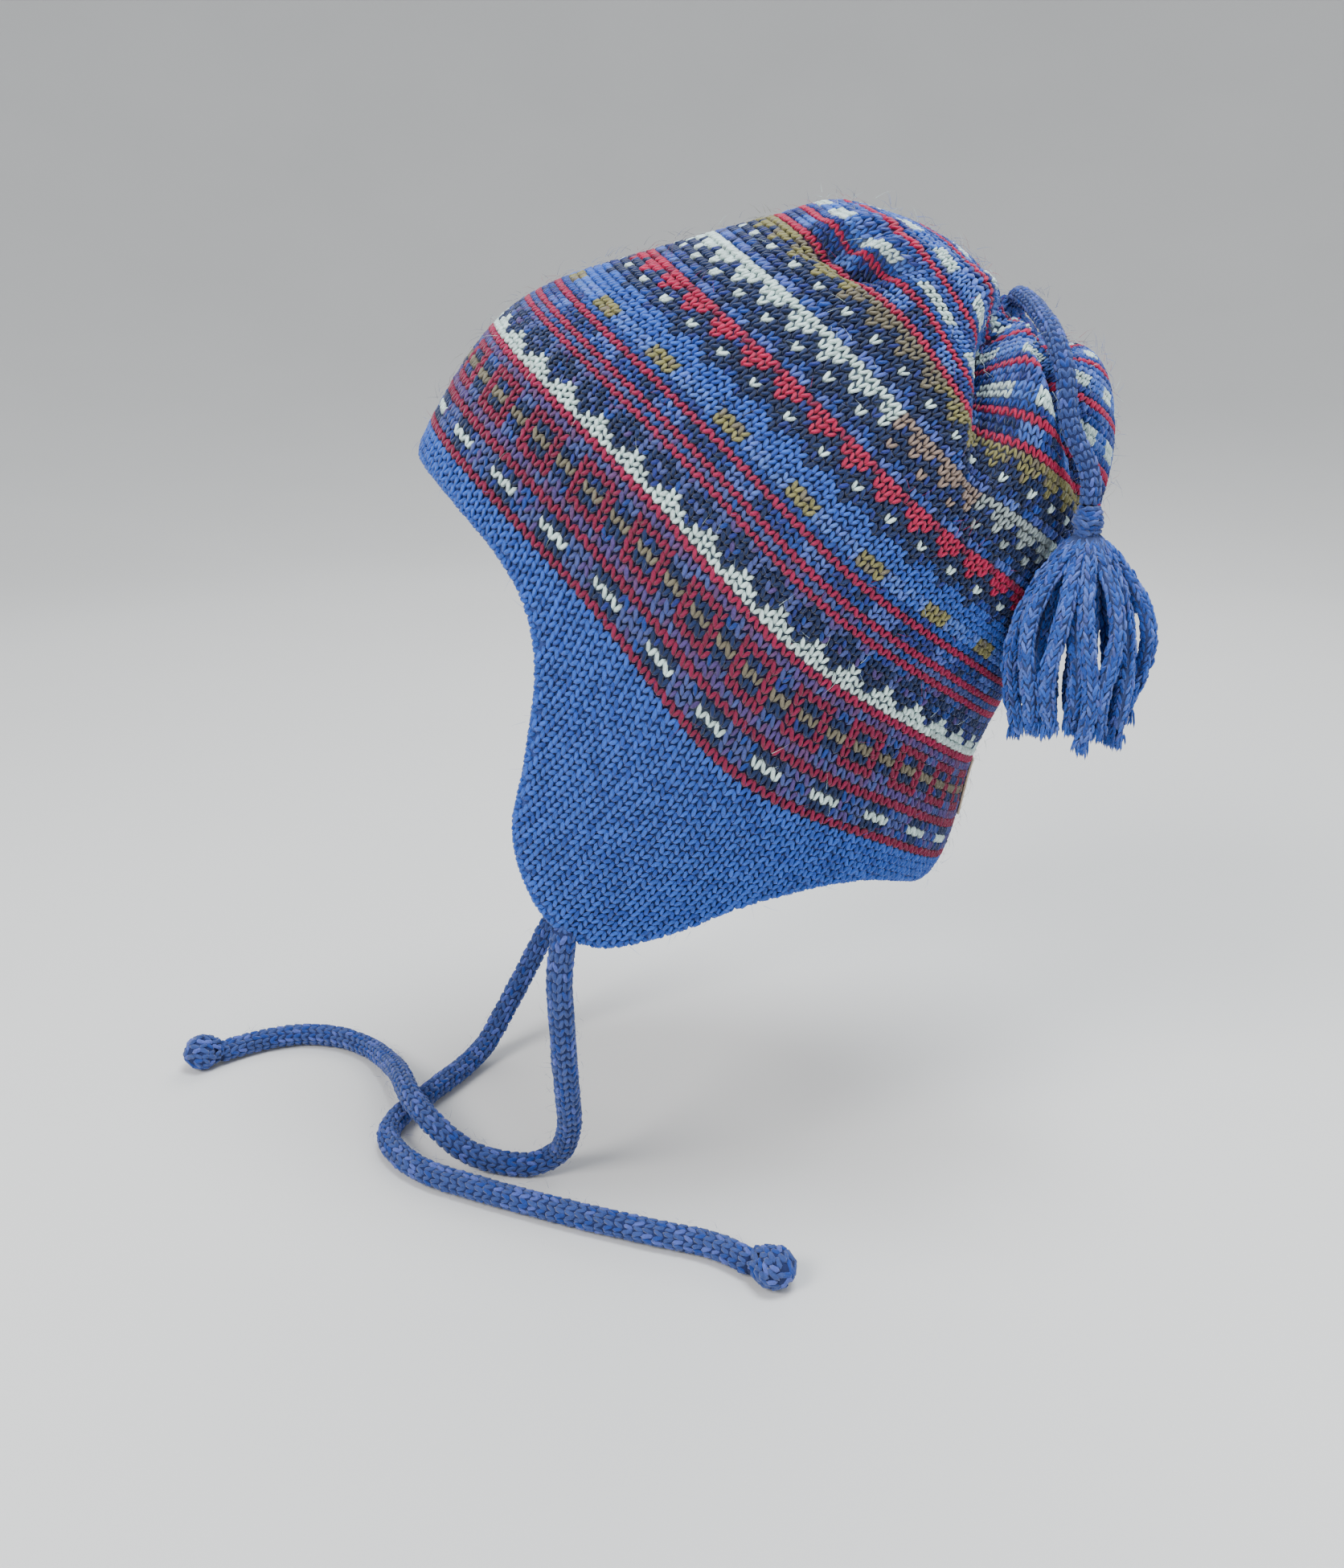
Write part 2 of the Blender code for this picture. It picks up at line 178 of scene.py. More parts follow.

# Yarns, as they look in daylight (sRGB). K is no yarn but a dark navy painted as the shade between stitches,
# on the shells and the cores.
YARNS = {
    "N": (22, 38, 78),
    "B": (75, 105, 185),
    "L": (94, 122, 192),
    "P": (80, 66, 118),
    "Q": (92, 62, 104),
    "M": (124, 20, 60),
    "R": (172, 26, 72),
    "F": (148, 25, 70),
    "W": (208, 228, 225),
    "O": (130, 126, 86),
    "A": (140, 122, 112),
    "Z": (150, 162, 162),
    "D": (50, 72, 140),
    "V": (46, 56, 120),
    "U": (86, 100, 168),
    "H": (74, 84, 138),
    "T": (96, 118, 190),
    "G": (112, 106, 90),
    "C": (62, 88, 165),
    "K": (28, 45, 102),
    "J": (66, 84, 142),
    "E": (222, 208, 184),
}
BAND_YARN = "B"

# Marled yarns turn from one colour to another from leg to leg
MARLS = {
    "P": "PPHQ",
    "H": "HHHPD",
    "B": "BBBBC",
    "J": "JJJJDU",
    "L": "LLTB",
    "D": "DDVC",
    "N": "NNNNNV",
    "O": "OOOOG",
    "V": "VVND",
    "U": "UUTD",
    "T": "TTTC",
}

# The chart, a row to a line from the border up. Each is a repeat, counted from the brow's wale.
CHART = (
    # Row 1: the border's dashes
    "M",
    "HHNNNH",
    "HHWWWH",
    "HHNNNH",
    "M",
    # Row 6: linked squares
    "P",
    "MHHMMM",
    "MNNMNN",
    "MGGMGG",
    "MNNMNN",
    "MHHMMM",
    "P",
    # Row 13: a white edge over navy diamonds
    "F",
    "W",
    "WWNW",
    "WNNN",
    "HNHN",
    "HNNN",
    "HHNH",
    # Row 20: stripes
    "F",
    "H",
    "F",
    "UVVVVVUU",
    "UVVVVVUU",
    "F",
    "D",
    # Row 27: olive dashes
    "LLOOOLLL",
    "LLOOOLLL",
    # Row 29: red hearts between white dots
    "B",
    "B",
    "BNBB",
    "NNND",
    "NWNN",
    "NNNR",
    "RNRR",
    "RMRR",
    # Row 37: white hearts between dots
    "NUUU",
    "NNDN",
    "WNNN",
    "NNWN",
    "NWWW",
    "W",
    # Row 43: olive hearts
    "UUUN",
    "NDNN",
    "NNNW",
    "NONN",
    "OOON",
    "O",
    # Row 49: dashes and stripes of the loose top
    "R",
    "LLVVVVVL",
    "LLVVVVVL",
    "R",
    "D",
    "WWWWWLLL",
    "WWWWWLLL",
    "UD",
    "DU",
    "R",
    "D",
    "LLLLWWWW",
    "LLLLWWWW",
    "T",
    "D",
    "R",
    "D",
    "WWWLLLLL",
    "WWWLLLLL",
    "T",
    "D",
    "R",
    "WWWNNNNN",
    "D",
    "R",
    # Row 74: the gathered centre
    "TD",
    "TD",
    "TD",
    "TD",
)
TOP_ROW = len(CHART)

# The crown's stitches, in pieces from one row to another
CROWN_PIECES = (
    ("knit_border_bands", 1, 26),
    ("knit_triangle_bands", 27, 49),
    ("knit_top_bands", 50, TOP_ROW),
)

# Where a yarn's dye turns as it runs round the hat
DyeTurn = namedtuple("DyeTurn", "first_row last_row first_wale last_wale yarn becomes")
DYE_TURNS = (
    DyeTurn(38, 42, 35, 46, "W", "A"),
    DyeTurn(38, 42, 47, 58, "W", "Z"),
    DyeTurn(46, 48, 21, 33, "O", "G"),
    DyeTurn(38, 42, 112, 124, "W", "Z"),
    DyeTurn(46, 48, 96, 106, "O", "G"),
    DyeTurn(14, 16, 88, 98, "W", "Z"),
)

# Above these rows the wales are gathered two by two, and then four by four
GATHERS = ((62, 2), (71, 4))

# The band's rounded edge: stitches a step apart, in rows round it
EDGE_COLUMNS = 176
RIM_PITCH = 4.0 * MM
RIM_TURNS = (14, 76, 138)
RIM_REACH = 0.9
RIM_SHIFT = 0.33

# The band's plain stitches stop this many rows above its edge
EDGE_CLEAR = 0.35

# The shells: how far below the border the band's starts, in rows, its rings down to the edge and round it,
# and the row of the crown's last ring
BORDER_GAP = 0.2
BAND_STEPS = 14
EDGE_ARC = 7
LAST_RING = GATHER_ROW - 0.05

# The ties and the braid, and the stitches knitted round them
TABLE_Z = -325 * MM
GAP = 0.3 * MM
ROUTE_STEP = 1.0 * MM
TIE_RADIUS = 4.75 * MM
TIE_WALES = 7
TIE_ROW = 3.6 * MM
TIE_TUCK = 5 * MM
BRAID_RADIUS = 3.4 * MM
BRAID_WALES = 6
BRAID_ROW = 2.7 * MM
BRAID_SPIN = 8.0
CORD_LEG = 1.9 * MM
CORD_LEG_WIDTH = LEG_WIDTH + 0.02
CORD_INSET = 0.45

# The stitches drawn together where a cord starts. Their feet and heads are given in the cord's radius.
CAP_LEGS = 10
CAP_LENGTH = 1.2 * MM
CAP_FOOT = 0.85
CAP_HEAD = 0.1
CAP_RISE = 0.45

# A knob at the end of a tie. Its neck, throat and least girth are shares of its own or the tie's radius.
KNOB_RADIUS = 7.4 * MM
KNOB_NECK = 1.15
KNOB_THROAT = 0.97
KNOB_LEAST_GIRTH = 0.35
KNOB_WALES = 9
KNOB_LEAST_WALES = 4
KNOB_ROW = 0.8 * TIE_ROW
KNOB_REACH = 0.85
KNOB_END = 0.8 * MM
KNOB_LEG_EXTRA = 0.15 * MM
KNOB_SPIN = 70.0
KNOB_LUMPS = 0.07

# The smooth cores: how far they lie behind the stitches, and into how many sides and lengths they are cut
CORE_DEPTH = 0.8 * MM
KNOB_CORE_DEPTH = 0.9 * MM
BRAID_CORE_DEPTH = 0.6 * MM
TIE_SIDES = 12
BRAID_SIDES = 10
NECK_SIDES = 10
NECK_STEPS = 4
BALL_SIDES = 16
BALL_RINGS = 10

# Routes in millimetres
TIE_LEFT_ROUTE = (
    (70, -46.5, -217.4),
    (69, -48, -230),
    (66, -48, -246),
    (61, -48, -264),
    (53, -48, -284),
    (44, -49, -303),
    (38, -54, -316),
    (39, -63, -320),
    (38, -75, -320),
    (34, -88, -318),
    (26, -101, -312),
    (12, -112, -309.6),
    (-9, -121, -311),
    (-31, -131, -317),
    (-48, -143, -320),
    (-57, -158, -320),
    (-59, -174, -320),
    (-53, -191, -320),
    (-42, -205, -320),
)
TIE_RIGHT_ROUTE = (
    (-70, -46.5, -217.4),
    (-70, -51, -238),
    (-69, -59, -256),
    (-66, -68, -273),
    (-61, -77, -290),
    (-54, -86, -306),
    (-46, -93, -317),
    (-35, -99, -320),
    (-20, -106, -320),
    (-5, -113, -320),
    (8, -119, -320),
    (21, -120, -320),
    (34, -113, -320),
    (45, -101, -320),
    (53, -85, -320),
    (62, -64, -320),
    (71, -41, -320),
    (79, -18, -320),
    (87, 5, -320),
    (96, 17, -320),
)
BRAID_ROUTE = (
    (0, 99, -19.6),
    (4, 98.6, -18.3),
    (11, 98.6, -18.4),
    (22, 100, -21),
    (34, 101, -25),
    (44, 102, -29),
    (52, 103, -35),
    (56, 104, -41),
    (57.8, 104.6, -48),
    (58.3, 105.6, -54),
    (59, 108.3, -60),
    (60, 111.5, -66),
    (60.5, 113, -71.5),
    (60.5, 113, -78),
)

# The last stitches at the gathered centre, drawn up to the braid
Pucker = namedtuple("Pucker", "row first_wale rise reach")
PUCKERS = (Pucker(75.4, 3.2, 0.0, 1.9), Pucker(76.6, 4.8, 1.4, 0.75))
PUCKER_WALES = 9
PUCKER_LIFT = 0.2 * MM
PUCKER_WIDTH = 1.1 * CORD_LEG

# The wound knot, made of short dashes of yarn
KNOT_TURNS = 7
KNOT_DASHES = 10
KNOT_TILT = 1.3 * MM
KNOT_RADIUS = 5.6 * MM
KNOT_LENGTH = 9 * MM
KNOT_YARN = 2.2 * MM
KNOT_CORE = 0.6
KNOT_SIDES = 12
KNOT_CORE_STEPS = 6
KNOT_STEPS = 10
KNOT_FIRST = 0.04
KNOT_SPAN = 0.92
KNOT_WAIST = 0.78
KNOT_BULGE = 0.22
KNOT_UNEVEN = (0.9, 1.08)
KNOT_LAP = 0.85
KNOT_FLAT = 0.8

# The tassel: its size, how its strands spread and thicken on the way down, and where each one hangs
TASSEL_DROP = 60 * MM
TASSEL_HALF_WIDTH = 15.5 * MM
TASSEL_HALF_DEPTH = 11 * MM
Station = namedtuple("Station", "share spread girth")
STRAND_STATIONS = (
    Station(0.0, 0.16, 0.5),
    Station(0.04, 0.3, 0.8),
    Station(0.15, 0.62, 0.95),
    Station(0.35, 1.0, 1),
    Station(0.6, 1.2, 1),
    Station(0.85, 1.1, 1),
    Station(1, 0.98, 0.75),
)
Strand = namedtuple("Strand", "turn reach drop bow sway")
STRANDS = (
    Strand(88, 1.02, 0.93, 3.0, -1.0),
    Strand(58, 0.95, 1.04, -1.0, 2.0),
    Strand(28, 0.98, 0.97, 0.5, 4.0),
    Strand(0, 1.0, 1.05, 0.0, -3.0),
    Strand(-30, 0.96, 0.97, 0.5, 3.0),
    Strand(-62, 1.0, 0.97, 1.0, -2.5),
    Strand(-92, 1.04, 1.03, 0.5, 2.0),
    Strand(-124, 0.98, 0.95, 0.0, -2.0),
    Strand(-158, 1.0, 1.02, 0.5, 0.5),
    Strand(168, 0.97, 0.98, 0.0, -0.5),
    Strand(140, 1.0, 1.03, 0.5, 2.5),
    Strand(114, 0.98, 0.97, 0.0, -2.0),
    Strand(20, 0.4, 1.0, 0.0, 1.0),
    Strand(140, 0.4, 0.96, 0.0, -1.0),
    Strand(260, 0.4, 1.0, 0.0, 0.0),
    Strand(212, 0.72, 0.97, 0.0, 0.0),
    Strand(152, 0.62, 1.0, 0.0, 0.0),
    Strand(76, 0.66, 1.03, 0.0, 1.5),
    Strand(-14, 0.6, 0.97, 0.5, -2.0),
    Strand(-104, 0.62, 1.02, 0.0, 2.0),
    Strand(168, 0.6, 0.98, 0.0, -1.5),
)

# A strand: its core, its rows of slanted tufts in yarns of several colours, and its frayed end
STRAND_RADIUS = 2.9 * MM
STRAND_CORE = 0.7
STRAND_SIDES = 6
STRAND_STEPS = 60
STRAND_INSET = 0.8
STRAND_YARNS = 10
TUFT_YARNS = (("T", 0.22), ("C", 0.42), ("U", 0.6), ("B", 1.0))
STRAND_SLANT = 0.3
DASH_STEP = 2.5 * MM
DASH_LENGTH = 3.9 * MM
DASH_WIDTH = 1.25 * MM
DASH_STRAY = 0.6 * MM
DASH_TURN = 0.25
DASH_REACHES = (0.85, 1.15)
DASH_WIDTHS = (0.75, 1.15)
TUFT_TURN = 0.12
FRAYS = 26
FRAY_LENGTH = 8 * MM
FRAY_WIDTH = 0.75 * MM
FRAY_RADII = (0.1, 1.0)
FRAY_FALLS = (0.55, 0.8)
FRAY_SPREAD = (-1.5 * MM, 1.0 * MM)

# The plain patch at the nape
PATCH_HALF_ANGLE = 9.0
PATCH_ROWS = (5.5, 12.5)
PATCH_LIFT = 0.55 * MM
PATCH_THICKNESS = 0.8 * MM
PATCH_GRID = (36, 24)
PATCH_BORDER = 2
PATCH_STITCHES = 22
STITCH_HEIGHT = 0.9
STITCH_INSET = 0.4
STITCH_FROM_EDGE = 0.3
STITCH_HALF_ROWS = 0.35
STITCH_SLANT = 0.25
STITCH_WIDTH = 0.55 * MM
STITCH_DEPTH = 0.4 * MM

# Stray hairs of wool. Each bends by many times its own thickness.
HAIR_LENGTH = 7.0 * MM
HAIR_THICKNESS = 0.11 * MM
HAIRS = 5200
TIE_HAIRS = 420
BRAID_HAIRS = 160
HAIR_ROWS = (-26, 76)
HAIR_EDGE_CLEAR = 0.3
HAIR_LEANS = (0.15, 1.0)
HAIR_SIDEWAYS = 0.75
HAIR_CURL = 0.4
HAIR_REACHES = (0.35, 1.0)
CORD_HAIR = 0.7
HAIR_SIDES = 3
HAIR_BENDS = 2
HAIR_SIZES = {"Bend": 22.0, "Turn jitter": 0.0, "Size jitter": 0.0}

# The floor and the wall that it turns up into
FLOOR_FLAT = 1.4
FLOOR_SIDES = 96
WALL_BEND = 2.6
WALL_TURN = 1.5
WALL_RINGS = 24

# Soft lamps, all aimed at the hat's middle, and the pale sky
Lamp = namedtuple("Lamp", "name place size power colour")
LAMPS = (
    Lamp("key", (1.1, -0.9, 0.9), 0.7, 25, (1.0, 0.98, 0.95)),
    Lamp("fill", (0.9, 1.2, 0.5), 1.2, 6, (0.93, 0.96, 1.0)),
    Lamp("rear", (-1.2, 0.3, 1.0), 1.2, 11, (1.0, 1.0, 1.0)),
    Lamp("top", (0.2, 0.25, 1.3), 0.7, 23, (0.9, 0.96, 1.0)),
)
LAMP_AIM = (0, 0, -0.1)
SKY_COLOUR = (0.92, 0.95, 1.0, 1)
SKY_STRENGTH = 0.6

# Seeds of what is drawn for a piece, and of the tones that its legs take
Seeds = namedtuple("Seeds", "draws tones")
BAND_SEEDS = Seeds(77, 91)
BRAID_SEEDS = Seeds(52, 51)
KNOT_SEEDS = Seeds(55, 56)
TASSEL_SEEDS = Seeds(31, 41)
HAIR_SEEDS = Seeds(71, 81)
ROW_SEED = 1000
TIE_LEFT_SEED = 11
TIE_RIGHT_SEED = 21
PATCH_SEED = 61

# What the knitted pieces share: the tree that makes their legs, their wool, and the knit behind them
Kit = namedtuple("Kit", "tree wool behind")


# Node trees

class Field:
    """The output of a node. Arithmetic on it adds Math nodes to its tree."""

    def __init__(self, graph, socket):
        self.graph = graph
        self.socket = socket

    def output(self, name):
        return Field(self.graph, enabled(self.socket.node.outputs, name))

    def math(self, operation, *values):
        return self.graph.node("ShaderNodeMath", {"operation": operation}, dict(enumerate(values)))

    def __add__(self, other):
        return self.math("ADD", self, other)

    def __radd__(self, other):
        return self.math("ADD", other, self)

    def __sub__(self, other):
        return self.math("SUBTRACT", self, other)

    def __rsub__(self, other):
        return self.math("SUBTRACT", other, self)

    def __mul__(self, other):
        return self.math("MULTIPLY", self, other)

    def __rmul__(self, other):
        return self.math("MULTIPLY", other, self)

    def sine(self):
        return self.math("SINE", self)


def enabled(sockets, key):
    """The socket with a name or an index, passing over the ones that a setting has switched off."""
    if isinstance(key, int):
        return [socket for socket in sockets if socket.enabled][key]
    return next(socket for socket in sockets if socket.enabled and socket.name == key)


class Graph:
    """Adds nodes to one tree."""

    def __init__(self, tree):
        self.tree = tree

    def node(self, kind, settings=None, values=None, output=0):
        """A node of any type: its settings first, then the values or links of its sockets."""
        made = self.tree.nodes.new(kind)
        for name, setting in (settings or {}).items():
            if name == "stops":
                for index, (place, colour) in enumerate(setting):
                    stops = made.color_ramp.elements
                    stop = stops[index] if index < 2 else stops.new(place)
                    stop.position = place
                    stop.color = colour
            else:
                setattr(made, name, setting)
        for name, value in (values or {}).items():
            socket = enabled(made.inputs, name)
            if isinstance(value, Field):
                self.tree.links.new(value.socket, socket)
            else:
                socket.default_value = value
        return Field(self, enabled(made.outputs, output)) if made.outputs else None

    def vector(self, name):
        """A vector that the points carry."""
        return self.node("GeometryNodeInputNamedAttribute", {"data_type": "FLOAT_VECTOR"}, {"Name": name})

    def scaled(self, vector, scale):
        return self.node("ShaderNodeVectorMath", {"operation": "SCALE"}, {0: vector, "Scale": scale})


def spindle(graph):
    """One leg of yarn, along Z, with its UV map."""
    ball = graph.node(
        "GeometryNodeMeshUVSphere", None, {"Segments": LEG_SIDES, "Rings": LEG_RINGS, "Radius": 0.5}
    )
    return graph.node(
        "GeometryNodeStoreNamedAttribute",
        {"data_type": "FLOAT2", "domain": "CORNER"},
        {"Geometry": ball, "Name": "yarn_uv", "Value": ball.output("UV Map")},
    )


def hair(graph):
    """One stray hair, along Z."""
    return graph.node(
        "GeometryNodeMeshCone",
        {"fill_type": "NONE"},
        {
            "Vertices": HAIR_SIDES,
            "Side Segments": HAIR_BENDS,
            "Radius Top": 0.0,
            "Radius Bottom": 0.5,
            "Depth": 1.0,
        },
    )


def fibre_tree(name, fibre, sizes):
    """Puts a bent fibre on every point, along the point's axis and out of the knit. The bend is given in
    the fibre's own thicknesses."""
    tree = bpy.data.node_groups.new(name, "GeometryNodeTree")
    for label in ("Geometry", "Material", *sizes):
        kind = "Float" if label in sizes else label
        socket = tree.interface.new_socket(label, in_out="INPUT", socket_type="NodeSocket" + kind)
        if label in sizes:
            socket.default_value = sizes[label]
    tree.interface.new_socket("Geometry", in_out="OUTPUT", socket_type="NodeSocketGeometry")
    graph = Graph(tree)
    entry = graph.node("NodeGroupInput")

    place = graph.node("GeometryNodeInputPosition")
    along = graph.node("ShaderNodeSeparateXYZ", None, {0: place}).output("Z")
    bend = graph.node("ShaderNodeCombineXYZ", None, {"Y": along * along * entry.output("Bend") * -1})
    bent = graph.node("GeometryNodeSetPosition", None, {"Geometry": fibre(graph), "Offset": bend})

    aim = graph.node(
        "FunctionNodeAxesToRotation",
        {"primary_axis": "Z", "secondary_axis": "Y"},
        {"Primary Axis": graph.vector("leg_axis"), "Secondary Axis": graph.vector("leg_out")},
    )
    turn = graph.node(
        "FunctionNodeRandomValue", {"data_type": "FLOAT_VECTOR"}, {0: (-1,) * 3, 1: (1,) * 3, "Seed": 3}
    )
    turn = graph.scaled(turn, entry.output("Turn jitter"))
    turn = graph.node("FunctionNodeEulerToRotation", None, {0: turn})
    aim = graph.node(
        "FunctionNodeRotateRotation", {"rotation_space": "LOCAL"}, {"Rotation": aim, "Rotate By": turn}
    )
    swell = graph.node("FunctionNodeRandomValue", {"data_type": "FLOAT"}, {0: -1.0, 1: 1.0, "Seed": 5})
    size = graph.scaled(graph.vector("leg_size"), 1 + swell * entry.output("Size jitter"))
    fibres = graph.node(
        "GeometryNodeInstanceOnPoints",
        None,
        {"Points": entry.output("Geometry"), "Instance": bent, "Rotation": aim, "Scale": size},
    )

    done = graph.node("GeometryNodeRealizeInstances", None, {"Geometry": fibres})
    for spent in ("leg_axis", "leg_out", "leg_size"):
        done = graph.node("GeometryNodeRemoveAttribute", None, {"Geometry": done, "Name": spent})
    done = graph.node("GeometryNodeSetShadeSmooth", None, {"Geometry": done})
    wool = entry.output("Material")
    done = graph.node("GeometryNodeSetMaterial", None, {"Geometry": done, "Material": wool})
    graph.node("NodeGroupOutput", None, {"Geometry": done})
    return tree


def grown(name, legs, seed, tree, material, sizes=None):
    """The plain mesh that a tree grows on legs."""
    points = legs.points(name + "_points", seed)
    modifier = points.modifiers.new("grown", "NODES")
    modifier.node_group = tree
    given = {"Material": material, **(sizes or {})}
    for item in tree.interface.items_tree:
        if item.in_out == "INPUT" and item.name in given:
            modifier[item.identifier] = given[item.name]
    graph = bpy.context.evaluated_depsgraph_get()
    mesh = bpy.data.meshes.new_from_object(points.evaluated_get(graph))
    mesh.name = name
    points.modifiers.remove(modifier)
    bpy.data.objects.remove(points)
    return add_object(name, mesh)


def add_object(name, mesh):
    piece = bpy.data.objects.new(name, mesh)
    bpy.context.scene.collection.objects.link(piece)
    return piece


# The knit's face, as in the part's source

def column(table, name):
    """One named value from every line of a table."""
    return [getattr(line, name) for line in table]


def through(rows, values, at):
    """A smooth curve through the values at the rows, read at other rows."""
    rows = np.asarray(rows, float)
    values = np.asarray(values, float)
    slopes = np.gradient(values, rows)
    left = np.clip(np.searchsorted(rows, at, side="right") - 1, 0, len(rows) - 2)
    width = rows[left + 1] - rows[left]
    t = (at - rows[left]) / width
    return (
        (2 * t**3 - 3 * t**2 + 1) * values[left]
        + (t**3 - 2 * t**2 + t) * width * slopes[left]
        + (3 * t**2 - 2 * t**3) * values[left + 1]
        + (t**3 - t**2) * width * slopes[left + 1]
    )


def ring_point(angle, row):
    """Points of the smooth outer face, without its folds, at angles in degrees and rows."""
    angle, row = np.broadcast_arrays(np.asarray(angle, float), np.asarray(row, float))
    front_y, front_z, back_y, back_z, half_width, sag = (
        through(column(SECTIONS, "row"), column(SECTIONS, name), row) * MM for name in Section._fields[1:]
    )
    forward = np.cos(np.radians(angle))
    sideways = np.sin(np.radians(angle))
    from_brow = np.abs((angle + HALF_TURN) % TURN - HALF_TURN)
    drop = sag * np.exp(-(((from_brow - SAG_ANGLE) / SAG_HALF_ANGLE) ** 2))
    length_y = front_y - back_y
    length_z = front_z - back_z
    length = np.hypot(length_y, length_z)
    x = half_width * sideways * (1 - BACK_FULLNESS * forward)
    y = (front_y + back_y + forward * length_y) / 2 - drop * length_z / length
    z = (front_z + back_z + forward * length_z) / 2 + drop * length_y / length
    return np.stack([x, y, z], axis=-1)


def directions(angle, row):
    """Unit vectors out of the smooth outer face and up along the knit."""
    angle, row = np.broadcast_arrays(np.asarray(angle, float), np.asarray(row, float))
    low = np.minimum(row, GATHER_ROW - NORMAL_STEP)
    around = ring_point(angle + NORMAL_STEP, low) - ring_point(angle - NORMAL_STEP, low)
    up = ring_point(angle, low + NORMAL_STEP) - ring_point(angle, low - NORMAL_STEP)
    return unit(np.cross(around, up)), unit(up)


def fold_shift(angle, row):
    """How far the folds move the outer face: outwards, and down along the knit."""
    out = np.zeros(np.broadcast(angle, row).shape)
    down = np.zeros_like(out)
    rows = column(SECTIONS, "row")
    widths = column(SECTIONS, "half_width")
    width = through(rows, widths, row)
    for fold in FOLDS + WRINKLES:
        line = fold.angle + fold.lean * (row - fold.row)
        turn = (angle - line + HALF_TURN) % TURN - HALF_TURN
        half_angle = fold.half_angle * through(rows, widths, fold.row) / width
        share = np.exp(-((turn / half_angle) ** 2) - ((row - fold.row) / fold.half_rows) ** 2)
        out += fold.height * MM * share
        down += fold.drop * MM * share
    return out, down


def face_point(angle, row, outset=0.0):
    """Points of the folded outer face, moved outwards by the outset."""
    out, up = directions(angle, row)
    reach, drop = fold_shift(angle, row)
    return ring_point(angle, row) + out * (reach + outset)[..., None] - up * drop[..., None]


def unit(vectors):
    """Vectors at a length of one."""
    return vectors / np.linalg.norm(vectors, axis=-1, keepdims=True)


# Wales: where a stitch lies round the hat

class WaleMap:
    """Turns a wale and a row into an angle round the hat. Down to the border, each ring is shared out
    from brow to nape. On a flap, a wale keeps its width and its distance from the flap's middle."""

    def __init__(self):
        self.rows = np.arange(SECTIONS[0].row, GATHER_ROW + WALE_ROW_STEP / 2, WALE_ROW_STEP)
        angles = np.arange(TURN + 1.0)
        points = face_point(angles[None, :], self.rows[:, None])
        steps = np.linalg.norm(np.diff(points, axis=1), axis=2)
        shares = column(WALE_MARKS, "share")
        counts = column(WALE_MARKS, "wale")
        wales = np.linspace(0, WALES, WALES * WALE_READS + 1)
        border = int(np.argmin(np.abs(self.rows)))
        self.angles = np.zeros((len(self.rows), len(wales)))
        middle = HALF_TURN + 1
        rings = []
        for ring in steps:
            run = np.concatenate([[0.0], np.cumsum(ring)])
            nape = run[HALF_TURN]
            left = through(shares, counts, run[:middle] / nape)
            right = WALES - through(shares, counts, (run[-1] - run[middle:]) / (run[-1] - nape))
            rings.append((run, np.concatenate([left, right])))
        border_run, border_wale = rings[border]
        for index, (run, wale) in enumerate(rings):
            flap = np.clip((-self.rows[index] - FLAP_TOP) / FLAP_BLEND, 0, 1)
            if flap > 0:
                flap = flap * flap * (3 - 2 * flap)
                kept = np.zeros(TURN + 1)
                for centre, part in zip(FLAP_CENTRES, (slice(middle), slice(middle, None))):
                    offset = run[part] - run[centre] + border_run[centre]
                    kept[part] = np.interp(offset, border_run, border_wale)
                wale = wale * (1 - flap) + kept * flap
            self.angles[index] = np.interp(wales, wale, angles)

    def angle(self, wale, row):
        """Angles round the hat of wales on rows."""
        wale, row = np.broadcast_arrays(np.asarray(wale, float) % WALES, np.asarray(row, float))
        level = (row - self.rows[0]) / WALE_ROW_STEP
        low = np.clip(np.floor(level).astype(int), 0, len(self.rows) - 2)
        place = wale * WALE_READS
        left = np.clip(np.floor(place).astype(int), 0, WALES * WALE_READS - 1)
        level = level - low
        place = place - left
        below = self.angles[low, left] * (1 - place) + self.angles[low, left + 1] * place
        above = self.angles[low + 1, left] * (1 - place) + self.angles[low + 1, left + 1] * place
        return below * (1 - level) + above * level

    def point(self, wale, row, outset=0.0):
        """Points of the folded face."""
        row = np.minimum(row, GATHER_ROW)
        return face_point(self.angle(wale, row), row, outset)

    def out(self, wale, row):
        """Unit vectors out of the folded face."""
        around = self.point(wale + OUT_STEP, row) - self.point(wale - OUT_STEP, row)
        up = self.point(wale, row + OUT_STEP) - self.point(wale, row - OUT_STEP)
        return unit(np.cross(around, up))


KNIT = WaleMap()


def linear(colour):
    """Linear light from an sRGB colour of 0 to 255."""
    value = np.asarray(colour, float) / 255
    return np.where(value <= 0.04045, value / 12.92, ((value + 0.055) / 1.055) ** 2.4)


YARN_LIGHT = {key: linear(colour) for key, colour in YARNS.items()}


def yarn_at(wale, row):
    """The key of the yarn of one stitch."""
    if not 1 <= row <= TOP_ROW:
        return BAND_YARN
    repeat = CHART[int(row) - 1]
    key = repeat[int(wale) % len(repeat)]
    for turn in DYE_TURNS:
        in_rows = turn.first_row <= row <= turn.last_row
        in_wales = turn.first_wale <= wale <= turn.last_wale
        if in_rows and in_wales and key == turn.yarn:
            return turn.becomes
    return key


# Legs of stitches

